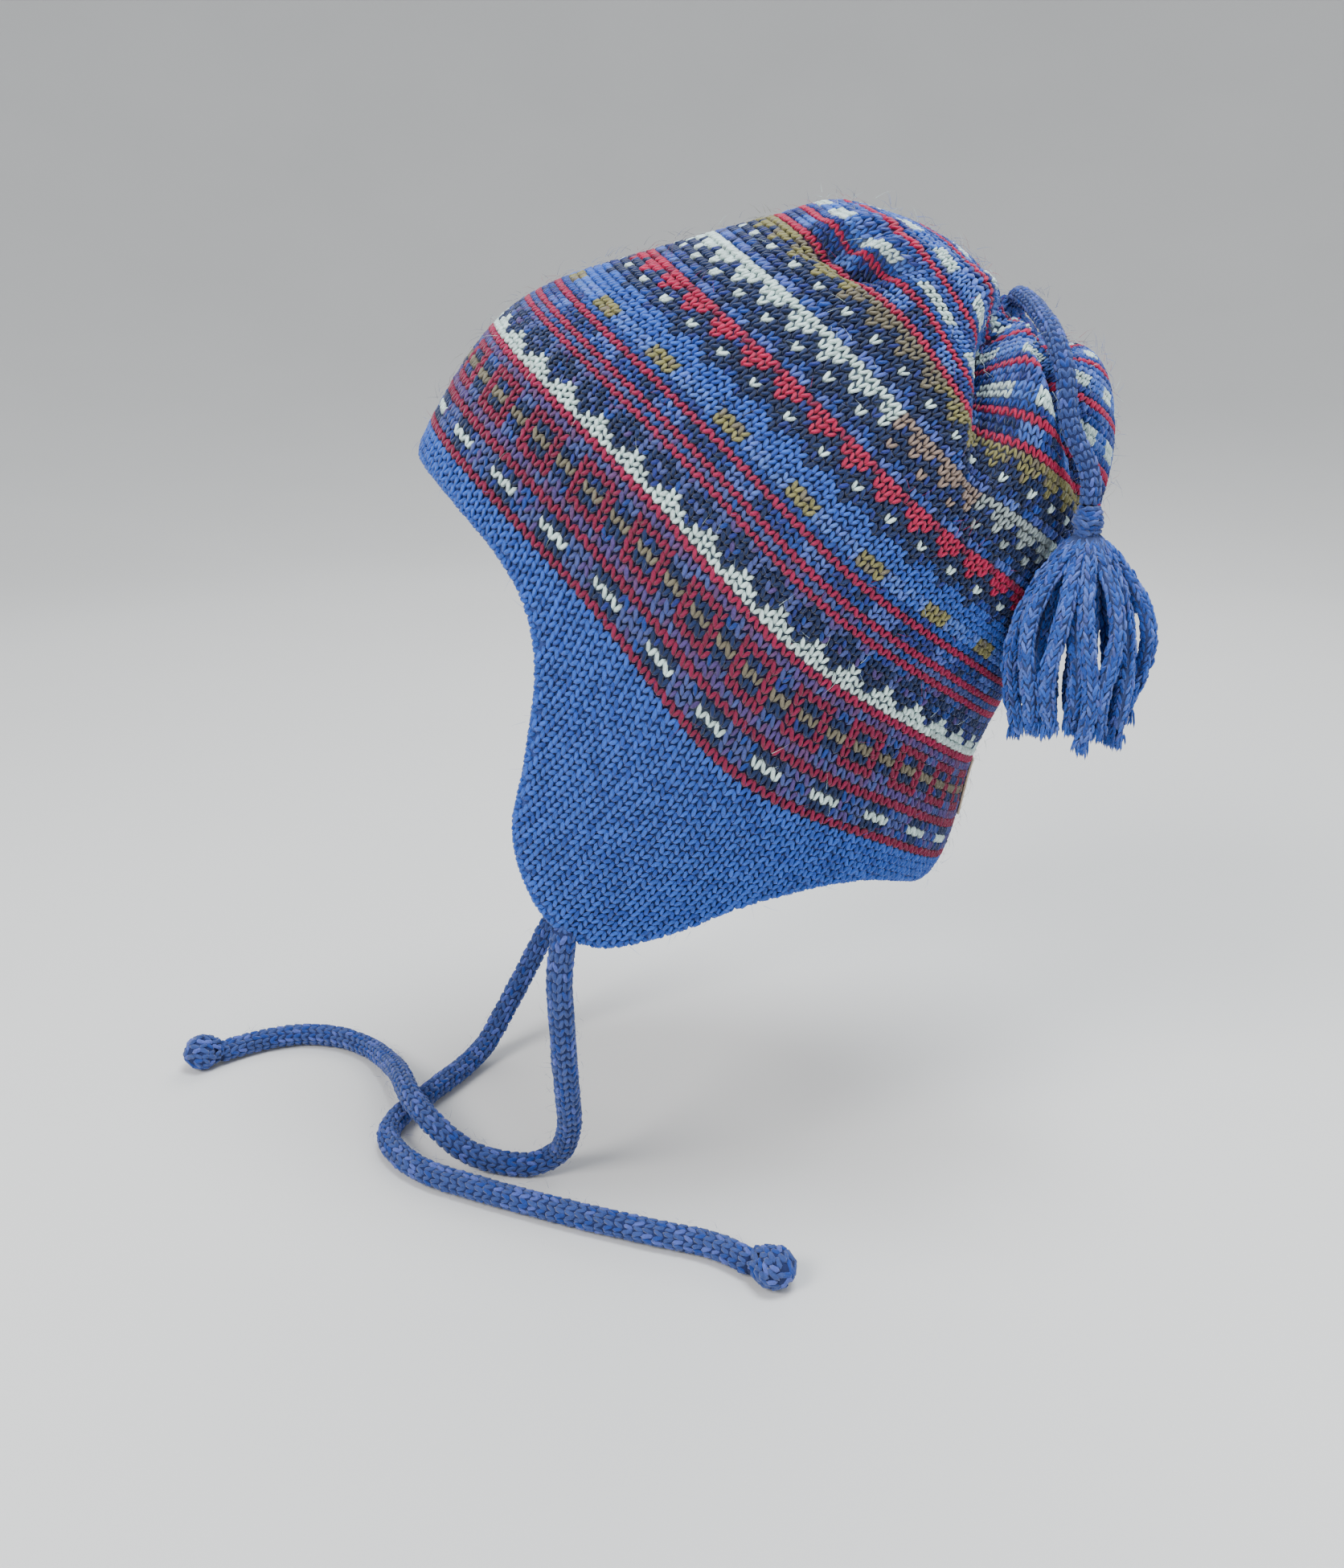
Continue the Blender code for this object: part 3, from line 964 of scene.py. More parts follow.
class Legs:
    """A growing list of legs: where each starts and ends, which way is out, and its thickness."""

    def __init__(self):
        self.parts = []

    def add(self, start, end, out, width, depth, light):
        start, end, out = (np.asarray(points, float).reshape(-1, 3) for points in (start, end, out))
        count = len(start)
        width = np.broadcast_to(np.asarray(width, float), (count,))
        depth = np.broadcast_to(np.asarray(depth, float), (count,))
        light = np.broadcast_to(np.asarray(light, float), (count, 3))
        self.parts.append((start, end, out, width, depth, light))

    def points(self, name, seed):
        """An object with a point for every leg."""
        start, end, out, width, depth, light = (np.concatenate(part) for part in zip(*self.parts))
        mesh = bpy.data.meshes.new(name)
        mesh.vertices.add(len(start))
        mesh.vertices.foreach_set("co", ((start + end) / 2).ravel())
        length = np.linalg.norm(end - start, axis=1)
        tone = np.random.default_rng(seed).uniform(-1, 1, len(start))
        store(mesh, "leg_axis", "FLOAT_VECTOR", "vector", unit(end - start))
        store(mesh, "leg_out", "FLOAT_VECTOR", "vector", out)
        store(mesh, "leg_size", "FLOAT_VECTOR", "vector", np.stack([width, depth, length], axis=1))
        store(mesh, "tone", "FLOAT", "value", tone)
        store_colour(mesh, light)
        return add_object(name, mesh)


def store(mesh, name, kind, field, values):
    """Gives every vertex a value."""
    attribute = mesh.attributes.new(name, kind, "POINT")
    attribute.data.foreach_set(field, np.asarray(values, np.float32).ravel())


def store_colour(mesh, light):
    """Gives every vertex the colour of its yarn."""
    colour = np.concatenate([light, np.ones((len(light), 1))], axis=1)
    store(mesh, "yarn", "FLOAT_COLOR", "color", colour)


def marled(keys, chance):
    """The colours of legs, where a marled yarn turns from one colour to another."""
    picks = chance.random(len(keys))
    mixes = [MARLS.get(key, key) for key in keys]
    return np.array([YARN_LIGHT[mix[int(pick * len(mix))]] for mix, pick in zip(mixes, picks)])


def knit_stitches(legs, wales, row, keys, gather=1):
    """Both legs of the stitches of one row. A gathered stitch is as wide as several wales."""
    centre = wales + gather / 2
    pitch = np.linalg.norm(
        KNIT.point(centre + gather / 2, row) - KNIT.point(centre - gather / 2, row), axis=1
    )
    out = KNIT.out(centre, np.full(len(centre), float(row)))
    chance = np.random.default_rng(ROW_SEED + row)
    for side in (-1, 1):
        start = KNIT.point(centre + side * LEG_FOOT * gather, row - LEG_REACH) + out * LEG_LIFT
        end = KNIT.point(centre + side * LEG_HEAD * gather, row + LEG_REACH) + out * LEG_LIFT
        legs.add(start, end, out, pitch * LEG_WIDTH, LEG_DEPTH, marled(keys, chance))


def knit_rows(first, last):
    """Legs of the crown's rows."""
    legs = Legs()
    for row in range(first, last + 1):
        gather = max([1] + [size for start, size in GATHERS if row >= start])
        wales = np.arange(0, WALES, gather, dtype=float)
        keys = [yarn_at(wale, row) for wale in wales]
        knit_stitches(legs, wales, row, keys, gather)
    return legs


# The band's lower edge

class BandEdge:
    """The outline of the band and both flaps, all the way round, and the middle of its rounded edge."""

    def __init__(self):
        steps = np.arange(len(EDGE))
        at = np.linspace(0, len(EDGE) - 1, EDGE_COLUMNS + 1)
        start, end, down = (through(steps, column(EDGE, name), at) for name in EdgePoint._fields)
        self.start = np.concatenate([start, TURN - start[-2:0:-1]])
        self.end = np.concatenate([end, TURN - end[-2:0:-1]])
        self.down = np.concatenate([down, down[-2:0:-1]])
        edge = face_point(self.end, -self.down)
        self.normal, _ = directions(self.end, -self.down)
        self.beyond = unit(np.cross(np.roll(edge, -1, axis=0) - np.roll(edge, 1, axis=0), self.normal))
        self.middle = face_point(self.end, -self.down, -BAND_WALL / 2)

    def rows_down(self, angle):
        """Rows from the border down to the edge."""
        half = EDGE_COLUMNS + 1
        from_brow = np.abs((np.asarray(angle) + HALF_TURN) % TURN - HALF_TURN)
        return np.interp(from_brow, self.end[:half], self.down[:half])

    def even(self, pitch):
        """Middles, normals and beyond directions at even steps along the edge."""
        closed = [np.concatenate([part, part[:1]]) for part in (self.middle, self.normal, self.beyond)]
        run = np.concatenate([[0.0], np.cumsum(np.linalg.norm(np.diff(closed[0], axis=0), axis=1))])
        at = np.linspace(0, run[-1], round(run[-1] / pitch), endpoint=False)
        return [vectors_at(at, run, part) for part in closed]


def vectors_at(at, run, values):
    """Vectors read between the places where they are known."""
    return np.stack([np.interp(at, run, values[:, axis]) for axis in range(3)], axis=-1)


BAND_EDGE = BandEdge()


def band_legs():
    """Stitches of the plain band and both flaps, and the rows that turn round their edge."""
    legs = Legs()
    for row in range(0, SECTIONS[0].row, -1):
        wales = np.arange(0, WALES, dtype=float)
        depth = BAND_EDGE.rows_down(KNIT.angle(wales + 0.5, float(row))) + row
        wales = wales[depth > EDGE_CLEAR]
        if len(wales):
            knit_stitches(legs, wales, row, [BAND_YARN] * len(wales))
    middle, normal, beyond = BAND_EDGE.even(RIM_PITCH)
    side_step = (np.roll(middle, -1, axis=0) - np.roll(middle, 1, axis=0)) / 2
    radius = BAND_WALL / 2 + LEG_LIFT
    reach = ROW_HEIGHT * LEG_REACH / radius
    chance = np.random.default_rng(BAND_SEEDS.draws)
    for index, degrees in enumerate(RIM_TURNS):
        for side in (-1, 1):
            ends = []
            for way, share in ((1, LEG_FOOT), (-1, LEG_HEAD)):
                turn = math.radians(degrees) + way * reach * RIM_REACH
                spot = middle + (normal * math.cos(turn) + beyond * math.sin(turn)) * radius
                ends.append(spot + side_step * (side * share + index * RIM_SHIFT))
            turn = math.radians(degrees)
            out = normal * math.cos(turn) + beyond * math.sin(turn)
            light = marled([BAND_YARN] * len(out), chance)
            legs.add(ends[0], ends[1], out, RIM_PITCH * LEG_WIDTH, LEG_DEPTH, light)
    return legs


# Cords

def smooth_route(route, step):
    """Points a step apart, in metres, on a smooth curve through the route's points."""
    points = np.asarray(route, float) * MM
    spans = np.linalg.norm(np.diff(points, axis=0), axis=1)
    at = np.concatenate([[0.0], np.cumsum(spans)])
    count = max(2, round(at[-1] / step) + 1)
    read = np.linspace(0, at[-1], count)
    return np.stack([through(at, points[:, axis], read) for axis in range(3)], axis=-1)


class Route:
    """A line with steady directions across it, so that what is knitted along it doesn't spin."""

    def __init__(self, points):
        self.points = np.asarray(points, float)
        spans = np.linalg.norm(np.diff(self.points, axis=0), axis=1)
        self.at = np.concatenate([[0.0], np.cumsum(spans)])
        self.length = self.at[-1]
        ways = unit(np.gradient(self.points, axis=0))
        across = [np.array(Vector(ways[0]).orthogonal().normalized())]
        for way in ways[1:]:
            last = across[-1]
            across.append(unit(last - way * np.dot(last, way)))
        self.across = np.array(across)
        self.other = np.cross(ways, self.across)

    def place(self, at, turn, reach):
        """Points beside the line, and the ways out of it."""
        at, turn, reach = np.broadcast_arrays(*(np.asarray(part, float) for part in (at, turn, reach)))
        away = vectors_at(at, self.at, self.across) * np.cos(turn)[..., None]
        away = unit(away + vectors_at(at, self.at, self.other) * np.sin(turn)[..., None])
        return vectors_at(at, self.at, self.points) + away * reach[..., None], away


def cord_legs(legs, route, radius, wales, row, seed, spin=0.0):
    """Stitches knitted round a cord."""
    chance = np.random.default_rng(seed)
    at = np.arange(row / 2, route.length, row)
    reach = radius - CORD_LEG * CORD_INSET
    step = math.tau / wales
    for wale in range(wales):
        turn = step * wale + spin * at
        for side in (-1, 1):
            start, _ = route.place(at - row * LEG_REACH, turn + side * step * LEG_FOOT, reach)
            end, _ = route.place(at + row * LEG_REACH, turn + side * step * LEG_HEAD, reach)
            _, out = route.place(at, turn, reach)
            light = marled(["J"] * len(at), chance)
            legs.add(start, end, out, radius * step * CORD_LEG_WIDTH, CORD_LEG, light)


def cap_legs(legs, points, radius, chance):
    """Stitches drawn together over the start of a cord."""
    way = unit(points[0] - points[2])
    line = Route(points)
    turns = np.arange(CAP_LEGS) * math.tau / CAP_LEGS
    start, out = line.place(np.full(CAP_LEGS, CAP_LENGTH), turns, radius * CAP_FOOT)
    end, _ = line.place(np.zeros(CAP_LEGS), turns, radius * CAP_HEAD)
    end = end + way * radius * CAP_RISE
    legs.add(start, end, unit(out + way), CORD_LEG, CORD_LEG, marled(["J"] * CAP_LEGS, chance))


def pucker_legs(legs, start, radius, chance):
    """The last stitches of the gathered top, drawn up to the cord that comes out of it."""
    for pucker in PUCKERS:
        wales = np.arange(0, WALES, PUCKER_WALES) + pucker.first_wale
        foot = KNIT.point(wales, pucker.row, PUCKER_LIFT)
        head = start + unit(foot - start) * radius * pucker.reach + np.array((0, 0, pucker.rise * MM))
        out = KNIT.out(wales, np.full(len(wales), pucker.row))
        legs.add(foot, head, out, PUCKER_WIDTH, CORD_LEG, marled(["D"] * len(wales), chance))


def knob_legs(legs, centre, axis, chance):
    """Stitches knitted round a stuffed knob and over the cord's end, with the knob's lumps."""
    middle = KNOB_RADIUS * KNOB_NECK
    line = Route([centre - axis * middle, centre, centre + axis * KNOB_RADIUS])

    def stitch_spots(at, turns):
        past = (at - middle) / KNOB_RADIUS
        ball = math.sqrt(max(0.0, 1 - past * past)) * KNOB_RADIUS
        radius = max(ball, TIE_RADIUS * KNOB_THROAT) if past < 0 else ball
        lumps = 1 + KNOB_LUMPS * np.sin(2 * turns + 3 * past)
        return line.place(at, turns + KNOB_SPIN * (at - middle), (radius + LEG_LIFT) * lumps)

    slant = TIE_ROW * LEG_REACH * KNOB_REACH
    for at in np.arange(0.0, line.length + MM, KNOB_ROW):
        at = min(at, line.length - KNOB_END)
        past = (at - middle) / KNOB_RADIUS
        girth = max(math.sqrt(max(0.0, 1 - past * past)), KNOB_LEAST_GIRTH)
        wales = max(KNOB_LEAST_WALES, round(KNOB_WALES * girth))
        step = math.tau / wales
        spokes = np.arange(wales) * step
        for side in (-1, 1):
            start, _ = stitch_spots(at - slant, spokes + side * step * LEG_FOOT)
            end, _ = stitch_spots(min(at + slant, line.length), spokes + side * step * LEG_HEAD)
            spot, _ = stitch_spots(at, spokes)
            width = KNOB_RADIUS * girth * step * LEG_WIDTH + KNOB_LEG_EXTRA
            legs.add(start, end, unit(spot - centre), width, CORD_LEG, marled(["J"] * wales, chance))


def tube_into(shape, points, radius, sides):
    """A round tube with closed ends, along points."""
    line = Route(points)
    turns = np.arange(sides) * math.tau / sides
    rings = []
    for at in line.at:
        spots, _ = line.place(np.full(sides, at), turns, radius)
        rings.append([shape.verts.new(spot) for spot in spots])
    skin(shape, rings)
    shape.faces.new(rings[0])
    shape.faces.new(rings[-1])


def build_core(name, tubes, kit, yarn="K", ball=None):
    """A smooth core of one colour that shows between the stitches: tubes, and a ball first if given. Unless
    another yarn is given it takes K, painted shade.
    """
    shape = bmesh.new()
    if ball:
        centre, radius = ball
        sides = {"u_segments": BALL_SIDES, "v_segments": BALL_RINGS}
        made = bmesh.ops.create_uvsphere(shape, radius=radius, **sides)
        bmesh.ops.translate(shape, verts=made["verts"], vec=centre)
    for points, radius, sides in tubes:
        tube_into(shape, points, radius, sides)
    lights = np.tile(YARN_LIGHT[yarn], (len(shape.verts), 1))
    return mesh_from(name, shape, kit.behind, lights)


def build_tie(name, route_points, kit, seed):
    """One tie: its knitted cord round a core, and the knitted knob at its end."""
    points = smooth_route(route_points, ROUTE_STEP)
    tuck = unit(points[0] - points[2]) * TIE_TUCK
    points = np.concatenate([[points[0] + tuck, points[0] + tuck / 2], points])
    route = Route(points)
    core = build_core(name + "_core", [(points[::2], TIE_RADIUS - CORE_DEPTH, TIE_SIDES)], kit)
    legs = Legs()
    cord_legs(legs, route, TIE_RADIUS, TIE_WALES, TIE_ROW, seed)
    cap_legs(legs, points, TIE_RADIUS, np.random.default_rng(seed + 2))
    knit = grown(name + "_knit", legs, seed, kit.tree, kit.wool)

    end = Vector(points[-1])
    axis = Vector(points[-1] - points[-2]).normalized()
    centre = end + axis * (GAP + KNOB_RADIUS)
    centre.z = max(centre.z, TABLE_Z + KNOB_RADIUS)
    neck = (np.linspace(end - axis * MM, centre, NECK_STEPS), TIE_RADIUS - KNOB_CORE_DEPTH, NECK_SIDES)
    ball = (centre, KNOB_RADIUS - KNOB_CORE_DEPTH)
    stuffing = build_core(name + "_knob_core", [neck], kit, ball=ball)
    legs = Legs()
    knob_legs(legs, np.array(centre), np.array(axis), np.random.default_rng(seed + 1))
    knob = grown(name + "_knob_knit", legs, seed + 1, kit.tree, kit.wool)
    dress("blue_cord", name, core, knit)
    dress("blue_cord", name + "_knob", stuffing, knob)
    return route


def dress(slot, node, *pieces):
    """Pieces on the hat's one body that stand for a node."""
    for piece in pieces:
        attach(piece, "root")
        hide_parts(node)


# The braid, the wound knot and the tassel

def strand_line(strand, top, at):
    """The middle of one strand, at shares of its drop."""
    spread = through(column(STRAND_STATIONS, "share"), column(STRAND_STATIONS, "spread"), at)
    turn = math.radians(strand.turn)
    lean = np.array([math.cos(turn) * TASSEL_HALF_DEPTH, math.sin(turn) * TASSEL_HALF_WIDTH, 0])
    side = np.array([-math.sin(turn), math.cos(turn), 0])
    bow = strand.bow * MM * np.sin(math.pi * at) ** 2
    sway = strand.sway * MM * np.sin(math.tau * at) * at
    drop = TASSEL_DROP * strand.drop * at
    return (
        np.array(top)
        + spread[:, None] * lean * strand.reach
        + bow[:, None] * unit(lean)
        + sway[:, None] * side
        + np.outer(drop, (0, 0, -1))
    )


def strand_legs(legs, line, girth, chance):
    """Short slanted tufts, in rows along one strand."""
    for yarn in range(STRAND_YARNS):
        at = np.arange(chance.uniform(0, DASH_STEP), line.length, DASH_STEP)
        at = at + chance.uniform(-DASH_STRAY, DASH_STRAY, len(at))
        phase = math.tau * yarn / STRAND_YARNS + chance.uniform(-DASH_TURN, DASH_TURN)
        radius = STRAND_RADIUS * STRAND_INSET * np.interp(at, line.at, girth)
        radius = radius * chance.uniform(*DASH_REACHES, len(at))
        slant = STRAND_SLANT * (-1) ** yarn
        start, _ = line.place(at - DASH_LENGTH / 2, phase - slant, radius)
        end, _ = line.place(at + DASH_LENGTH / 2, phase + slant, radius)
        _, out = line.place(at, phase, radius)
        width = DASH_WIDTH * chance.uniform(*DASH_WIDTHS, len(at))
        picks = chance.random(len(at))
        keys = [next(key for key, share in TUFT_YARNS if pick < share) for pick in picks]
        legs.add(start, end, out, width, width, marled(keys, chance))


def fray_legs(legs, line, chance):
    """The frayed end of one strand."""
    turns = chance.uniform(0, math.tau, FRAYS)
    radius = STRAND_RADIUS * chance.uniform(*FRAY_RADII, FRAYS)
    start, away = line.place(np.full(FRAYS, line.length - FRAY_LENGTH / 2), turns, radius)
    fall = np.outer(chance.uniform(*FRAY_FALLS, FRAYS), DOWN) * FRAY_LENGTH
    end = start + fall + away * chance.uniform(*FRAY_SPREAD, FRAYS)[:, None]
    legs.add(start, end, away, FRAY_WIDTH, FRAY_WIDTH, marled(["B"] * FRAYS, chance))


def build_tassel(top, kit):
    """Strands that hang from the knot, with frayed ends."""
    at = np.linspace(0, 1, STRAND_STEPS)
    girth = through(column(STRAND_STATIONS, "share"), column(STRAND_STATIONS, "girth"), at)
    chance = np.random.default_rng(TASSEL_SEEDS.draws)
    legs = Legs()
    tubes = []
    for strand in STRANDS:
        points = strand_line(strand, top, at)
        line = Route(points)
        tubes.append((points[:-3:3], STRAND_RADIUS * STRAND_CORE, STRAND_SIDES))
        strand_legs(legs, line, girth, chance)
        fray_legs(legs, line, chance)
    core = build_core("tassel_core", tubes, kit, yarn="J")
    turn = {"Turn jitter": TUFT_TURN}
    strands = grown("tassel_strands", legs, TASSEL_SEEDS.tones, kit.tree, kit.wool, turn)
    dress("blue_yarn", "tassel", core, strands)
    return core, strands


def build_knot(top, kit):
    """The wound neck of the tassel: turns of yarn round a core."""
    bottom = top + DOWN * KNOT_LENGTH
    tube = (np.linspace(top, bottom + DOWN * GAP, KNOT_CORE_STEPS), KNOT_RADIUS * KNOT_CORE, KNOT_SIDES)
    core = build_core("tassel_knot_core", [tube], kit)
    legs = Legs()
    chance = np.random.default_rng(KNOT_SEEDS.draws)
    line = Route(np.linspace(top, bottom, KNOT_STEPS))
    for wrap in range(KNOT_TURNS):
        share = wrap / (KNOT_TURNS - 1)
        level = KNOT_LENGTH * (KNOT_FIRST + KNOT_SPAN * share)
        bulge = KNOT_WAIST + KNOT_BULGE * math.sin(math.pi * share)
        bulge = (KNOT_RADIUS * bulge - KNOT_YARN / 2) * chance.uniform(*KNOT_UNEVEN, KNOT_DASHES)
        turns = np.arange(KNOT_DASHES) * math.tau / KNOT_DASHES + chance.uniform(0, 1)
        tilt = chance.uniform(-KNOT_TILT, KNOT_TILT, KNOT_DASHES)
        half = math.tau / KNOT_DASHES * KNOT_LAP
        start, _ = line.place(level - tilt, turns - half, bulge)
        end, _ = line.place(level + tilt, turns + half, bulge)
        _, out = line.place(np.full(KNOT_DASHES, level), turns, bulge)
        light = marled(["J"] * KNOT_DASHES, chance)
        legs.add(start, end, out, KNOT_YARN * KNOT_FLAT, KNOT_YARN, light)
    wraps = grown("tassel_knot_wraps", legs, KNOT_SEEDS.tones, kit.tree, kit.wool)
    dress("blue_cord", "tassel_knot", core, wraps)
    return core, wraps


def build_braid_and_tassel(kit):
    """The braid from the gathered top, with the knot and the tassel on its end."""
    points = smooth_route(BRAID_ROUTE, ROUTE_STEP)
    route = Route(points)
    tube = (points[::2], BRAID_RADIUS - BRAID_CORE_DEPTH, BRAID_SIDES)
    core = build_core("tassel_braid_core", [tube], kit)
    legs = Legs()
    seed = BRAID_SEEDS.tones
    cord_legs(legs, route, BRAID_RADIUS, BRAID_WALES, BRAID_ROW, seed, spin=BRAID_SPIN)
    chance = np.random.default_rng(BRAID_SEEDS.draws)
    cap_legs(legs, points, BRAID_RADIUS, chance)
    pucker_legs(legs, points[0], BRAID_RADIUS, chance)
    knit = grown("tassel_braid_knit", legs, seed, kit.tree, kit.wool)
    dress("blue_cord", "tassel_braid", core, knit)
    top = Vector(points[-1]) + DOWN * GAP
    knot = build_knot(top, kit)
    tassel = build_tassel(top + DOWN * (KNOT_LENGTH + GAP), kit)
    return route


# Materials

def new_material(name):
    """A material with no nodes yet, and its graph."""
    material = bpy.data.materials.new(name)
    material.use_nodes = True
    material.node_tree.nodes.clear()
    return material, Graph(material.node_tree)


def finish_material(graph, colour, roughness, bump=None, depth=0.0, sheen=0.0):
    """The finish of a material, with its relief if it has one."""
    values = {"Base Color": colour, "Roughness": roughness}
    if bump is not None:
        relief = {"Height": bump, "Distance": depth, "Strength": 1.0}
        values["Normal"] = graph.node("ShaderNodeBump", None, relief)
    if sheen:
        values["Sheen Weight"] = sheen
        values["Sheen Roughness"] = 0.5
    shader = graph.node("ShaderNodeBsdfPrincipled", None, values)
    graph.node("ShaderNodeOutputMaterial", None, {"Surface": shader})


def mark(graph, name, output="Fac"):
    """A number or a colour that the mesh carries."""
    return graph.node("ShaderNodeAttribute", {"attribute_name": name}).output(output)


def shade_of(graph, colour, value, saturation=1.0):
    """A colour made lighter or darker."""
    values = {"Color": colour, "Value": value, "Saturation": saturation}
    return graph.node("ShaderNodeHueSaturation", None, values)


def ramp(graph, value, dark, pale):
    """A colour between two."""
    stops = ((0.0, (*dark, 1)), (1.0, (*pale, 1)))
    return graph.node("ShaderNodeValToRGB", {"stops": stops}, {"Fac": value}).output("Color")


def noise(graph, scale, detail=2.0):
    """Noise that stays with the piece."""
    place = graph.node("ShaderNodeTexCoord").output("Object")
    values = {"Vector": place, "Scale": scale, "Detail": detail}
    return graph.node("ShaderNodeTexNoise", None, values).output("Fac")


def wool_material():
    """Soft heathered wool: the yarn's colour with lighter and darker fibres, and its ply in relief."""
    material, graph = new_material("heathered_wool")
    map_place = graph.node("ShaderNodeUVMap", {"uv_map": "yarn_uv"})
    split = graph.node("ShaderNodeSeparateXYZ", None, {0: map_place})
    ply = ((split.output("X") * 2 + split.output("Y") * 1.6) * math.tau).sine()
    fleck = noise(graph, 1500, 3.0)
    cloud = noise(graph, 160)
    value = 0.36 + fleck * 0.86 + cloud * 0.34 + mark(graph, "tone") * 0.16 + ply * 0.09
    shaded = shade_of(graph, mark(graph, "yarn", "Color"), value, 1.12)
    finish_material(graph, shaded, 0.9, ply * 0.5 + fleck * 1.2, 0.3 * MM, sheen=0.2)
    return material


def shell_material():
    """The knit behind the stitches: darker on the outside as painted shade between them, and purled on the
    inside.
    """
    material, graph = new_material("knit_behind")
    inner = mark(graph, "inner")
    fleck = noise(graph, 900, 3.0)
    wave = (mark(graph, "wale") * math.tau).sine()
    purl = ((mark(graph, "row") * 2 + wave * 0.5) * math.pi).sine() * 0.5 + 0.5
    value = (0.35 + fleck * 0.6) * (1 - inner) + (0.3 + purl * 0.5 + fleck * 0.5) * inner
    shaded = shade_of(graph, mark(graph, "yarn", "Color"), value)
    finish_material(graph, shaded, 0.95, fleck * 0.4 + purl * inner * 1.6, 0.8 * MM)
    return material


def patch_material():
    """Woven tan cloth with a pale overlocked edge."""
    material, graph = new_material("woven_patch")
    across = mark(graph, "wale")
    weave = (across * math.tau).sine() * (mark(graph, "row") * math.tau).sine()
    fleck = noise(graph, 1200)
    stripe = (across * (math.pi / 4)).sine() * 0.5 + 0.5
    shade = 0.25 + weave * 0.12 + fleck * 0.4 + stripe * 0.25
    tan = ramp(graph, shade, (0.13, 0.075, 0.04), (0.55, 0.36, 0.2))
    edge = {"Factor": mark(graph, "inner"), "A": tan, "B": (0.62, 0.52, 0.38, 1)}
    edged = graph.node("ShaderNodeMix", {"data_type": "RGBA"}, edge)
    finish_material(graph, edged, 0.8, weave * 0.5 + fleck * 0.5, 0.25 * MM)
    return material


# Shells behind the stitches

def skin(shape, rings, closed=True):
    """Quads between rows of vertices."""
    for lower, upper in zip(rings, rings[1:]):
        for index in range(len(lower) if closed else len(lower) - 1):
            after = (index + 1) % len(lower)
            shape.faces.new((lower[index], lower[after], upper[after], upper[index]))


def fan(shape, ring, centre):
    """Triangles from a ring to its centre."""
    for vertex, after in zip(ring, ring[1:] + ring[:1]):
        shape.faces.new((vertex, after, centre))


def mesh_from(name, shape, material, lights=None, marks=None, closed=True):
    """An object from a bmesh, with a colour and marks for every vertex. A closed one faces outwards."""
    if closed:
        bmesh.ops.recalc_face_normals(shape, faces=shape.faces)
    mesh = bpy.data.meshes.new(name)
    shape.to_mesh(mesh)
    shape.free()
    mesh.shade_smooth()
    mesh.materials.append(material)
    if lights is not None:
        store_colour(mesh, lights)
    for label, values in (marks or {}).items():
        store(mesh, label, "FLOAT", "value", values)
    return add_object(name, mesh)


class Shell:
    """A mesh that grows ring by ring. Its vertices carry a wale, a row and how far inside they are."""

    def __init__(self):
        self.shape = bmesh.new()
        self.marks = {"wale": [], "row": [], "inner": []}
        self.lights = []

    def ring(self, spots, wale, row, inner, light=None):
        """The vertices of one more ring."""
        for label, value in (("wale", wale), ("row", row), ("inner", inner)):
            self.marks[label].extend(np.broadcast_to(value, len(spots)))
        if light is not None:
            self.lights.extend(np.broadcast_to(light, (len(spots), 3)))
        return [self.shape.verts.new(spot) for spot in spots]

    def piece(self, name, material):
        """The finished mesh, as an object."""
        lights = np.array(self.lights) if self.lights else None
        return mesh_from(name, self.shape, material, lights, self.marks)


def build_crown_shell(material):
    """The crown's wall behind its stitches, from the border to the gathered centre."""
    wales = np.arange(0, WALES, 1.0)
    rows = np.append(np.arange(0, GATHER_ROW, 1.0), LAST_RING)
    shell = Shell()
    borders = []
    for inner, outset in enumerate((-SHELL_DEPTH, -CROWN_WALL)):
        rings = []
        for row in rows:
            light = np.array([YARN_LIGHT[yarn_at(wale, max(1, round(row)))] for wale in wales])
            # The outer face takes on the dark K: painted shade in the gaps between the stitches
            if not inner:
                light = light * (1 - GAP_SHADE) + YARN_LIGHT["K"] * GAP_SHADE
            rings.append(shell.ring(KNIT.point(wales, row, outset), wales, row, inner, light))
        skin(shell.shape, rings)
        centre = KNIT.point(wales, GATHER_ROW, outset).mean(axis=0)
        apex = shell.ring([centre], 0, GATHER_ROW, inner, YARN_LIGHT["N"])
        fan(shell.shape, rings[-1], apex[0])
        borders.append(rings[0])
    skin(shell.shape, borders[::-1])
    return shell.piece("crown_shell", material)


def build_band_shell(material):
    """The wall of the band and both flaps, with its rounded edge, behind the stitches."""
    shell = Shell()
    # C, a darker blue than the band's yarn, stands for the shade between the stitches: painted shade
    light = YARN_LIGHT["C"]
    rings = []

    def wall_ring(step, outset, inner):
        share = step / BAND_STEPS
        angle = BAND_EDGE.start + (BAND_EDGE.end - BAND_EDGE.start) * share
        row = -BORDER_GAP - (BAND_EDGE.down - BORDER_GAP) * share
        rings.append(shell.ring(face_point(angle, row, outset), angle / TURN * WALES, row, inner, light))

    for step in range(BAND_STEPS):
        wall_ring(step, -SHELL_DEPTH, 0)
    wales = BAND_EDGE.end / TURN * WALES
    for turn in np.linspace(0, math.pi, EDGE_ARC):
        inner = max(0.0, -math.cos(turn))
        reach = BAND_WALL / 2 - SHELL_DEPTH + SHELL_DEPTH * inner
        away = BAND_EDGE.normal * math.cos(turn) + BAND_EDGE.beyond * math.sin(turn)
        rings.append(shell.ring(BAND_EDGE.middle + away * reach, wales, -BAND_EDGE.down, inner, light))
    for step in reversed(range(BAND_STEPS)):
        wall_ring(step, -BAND_WALL, 1)
    skin(shell.shape, rings + rings[:1])
    return shell.piece("band_shell", material)


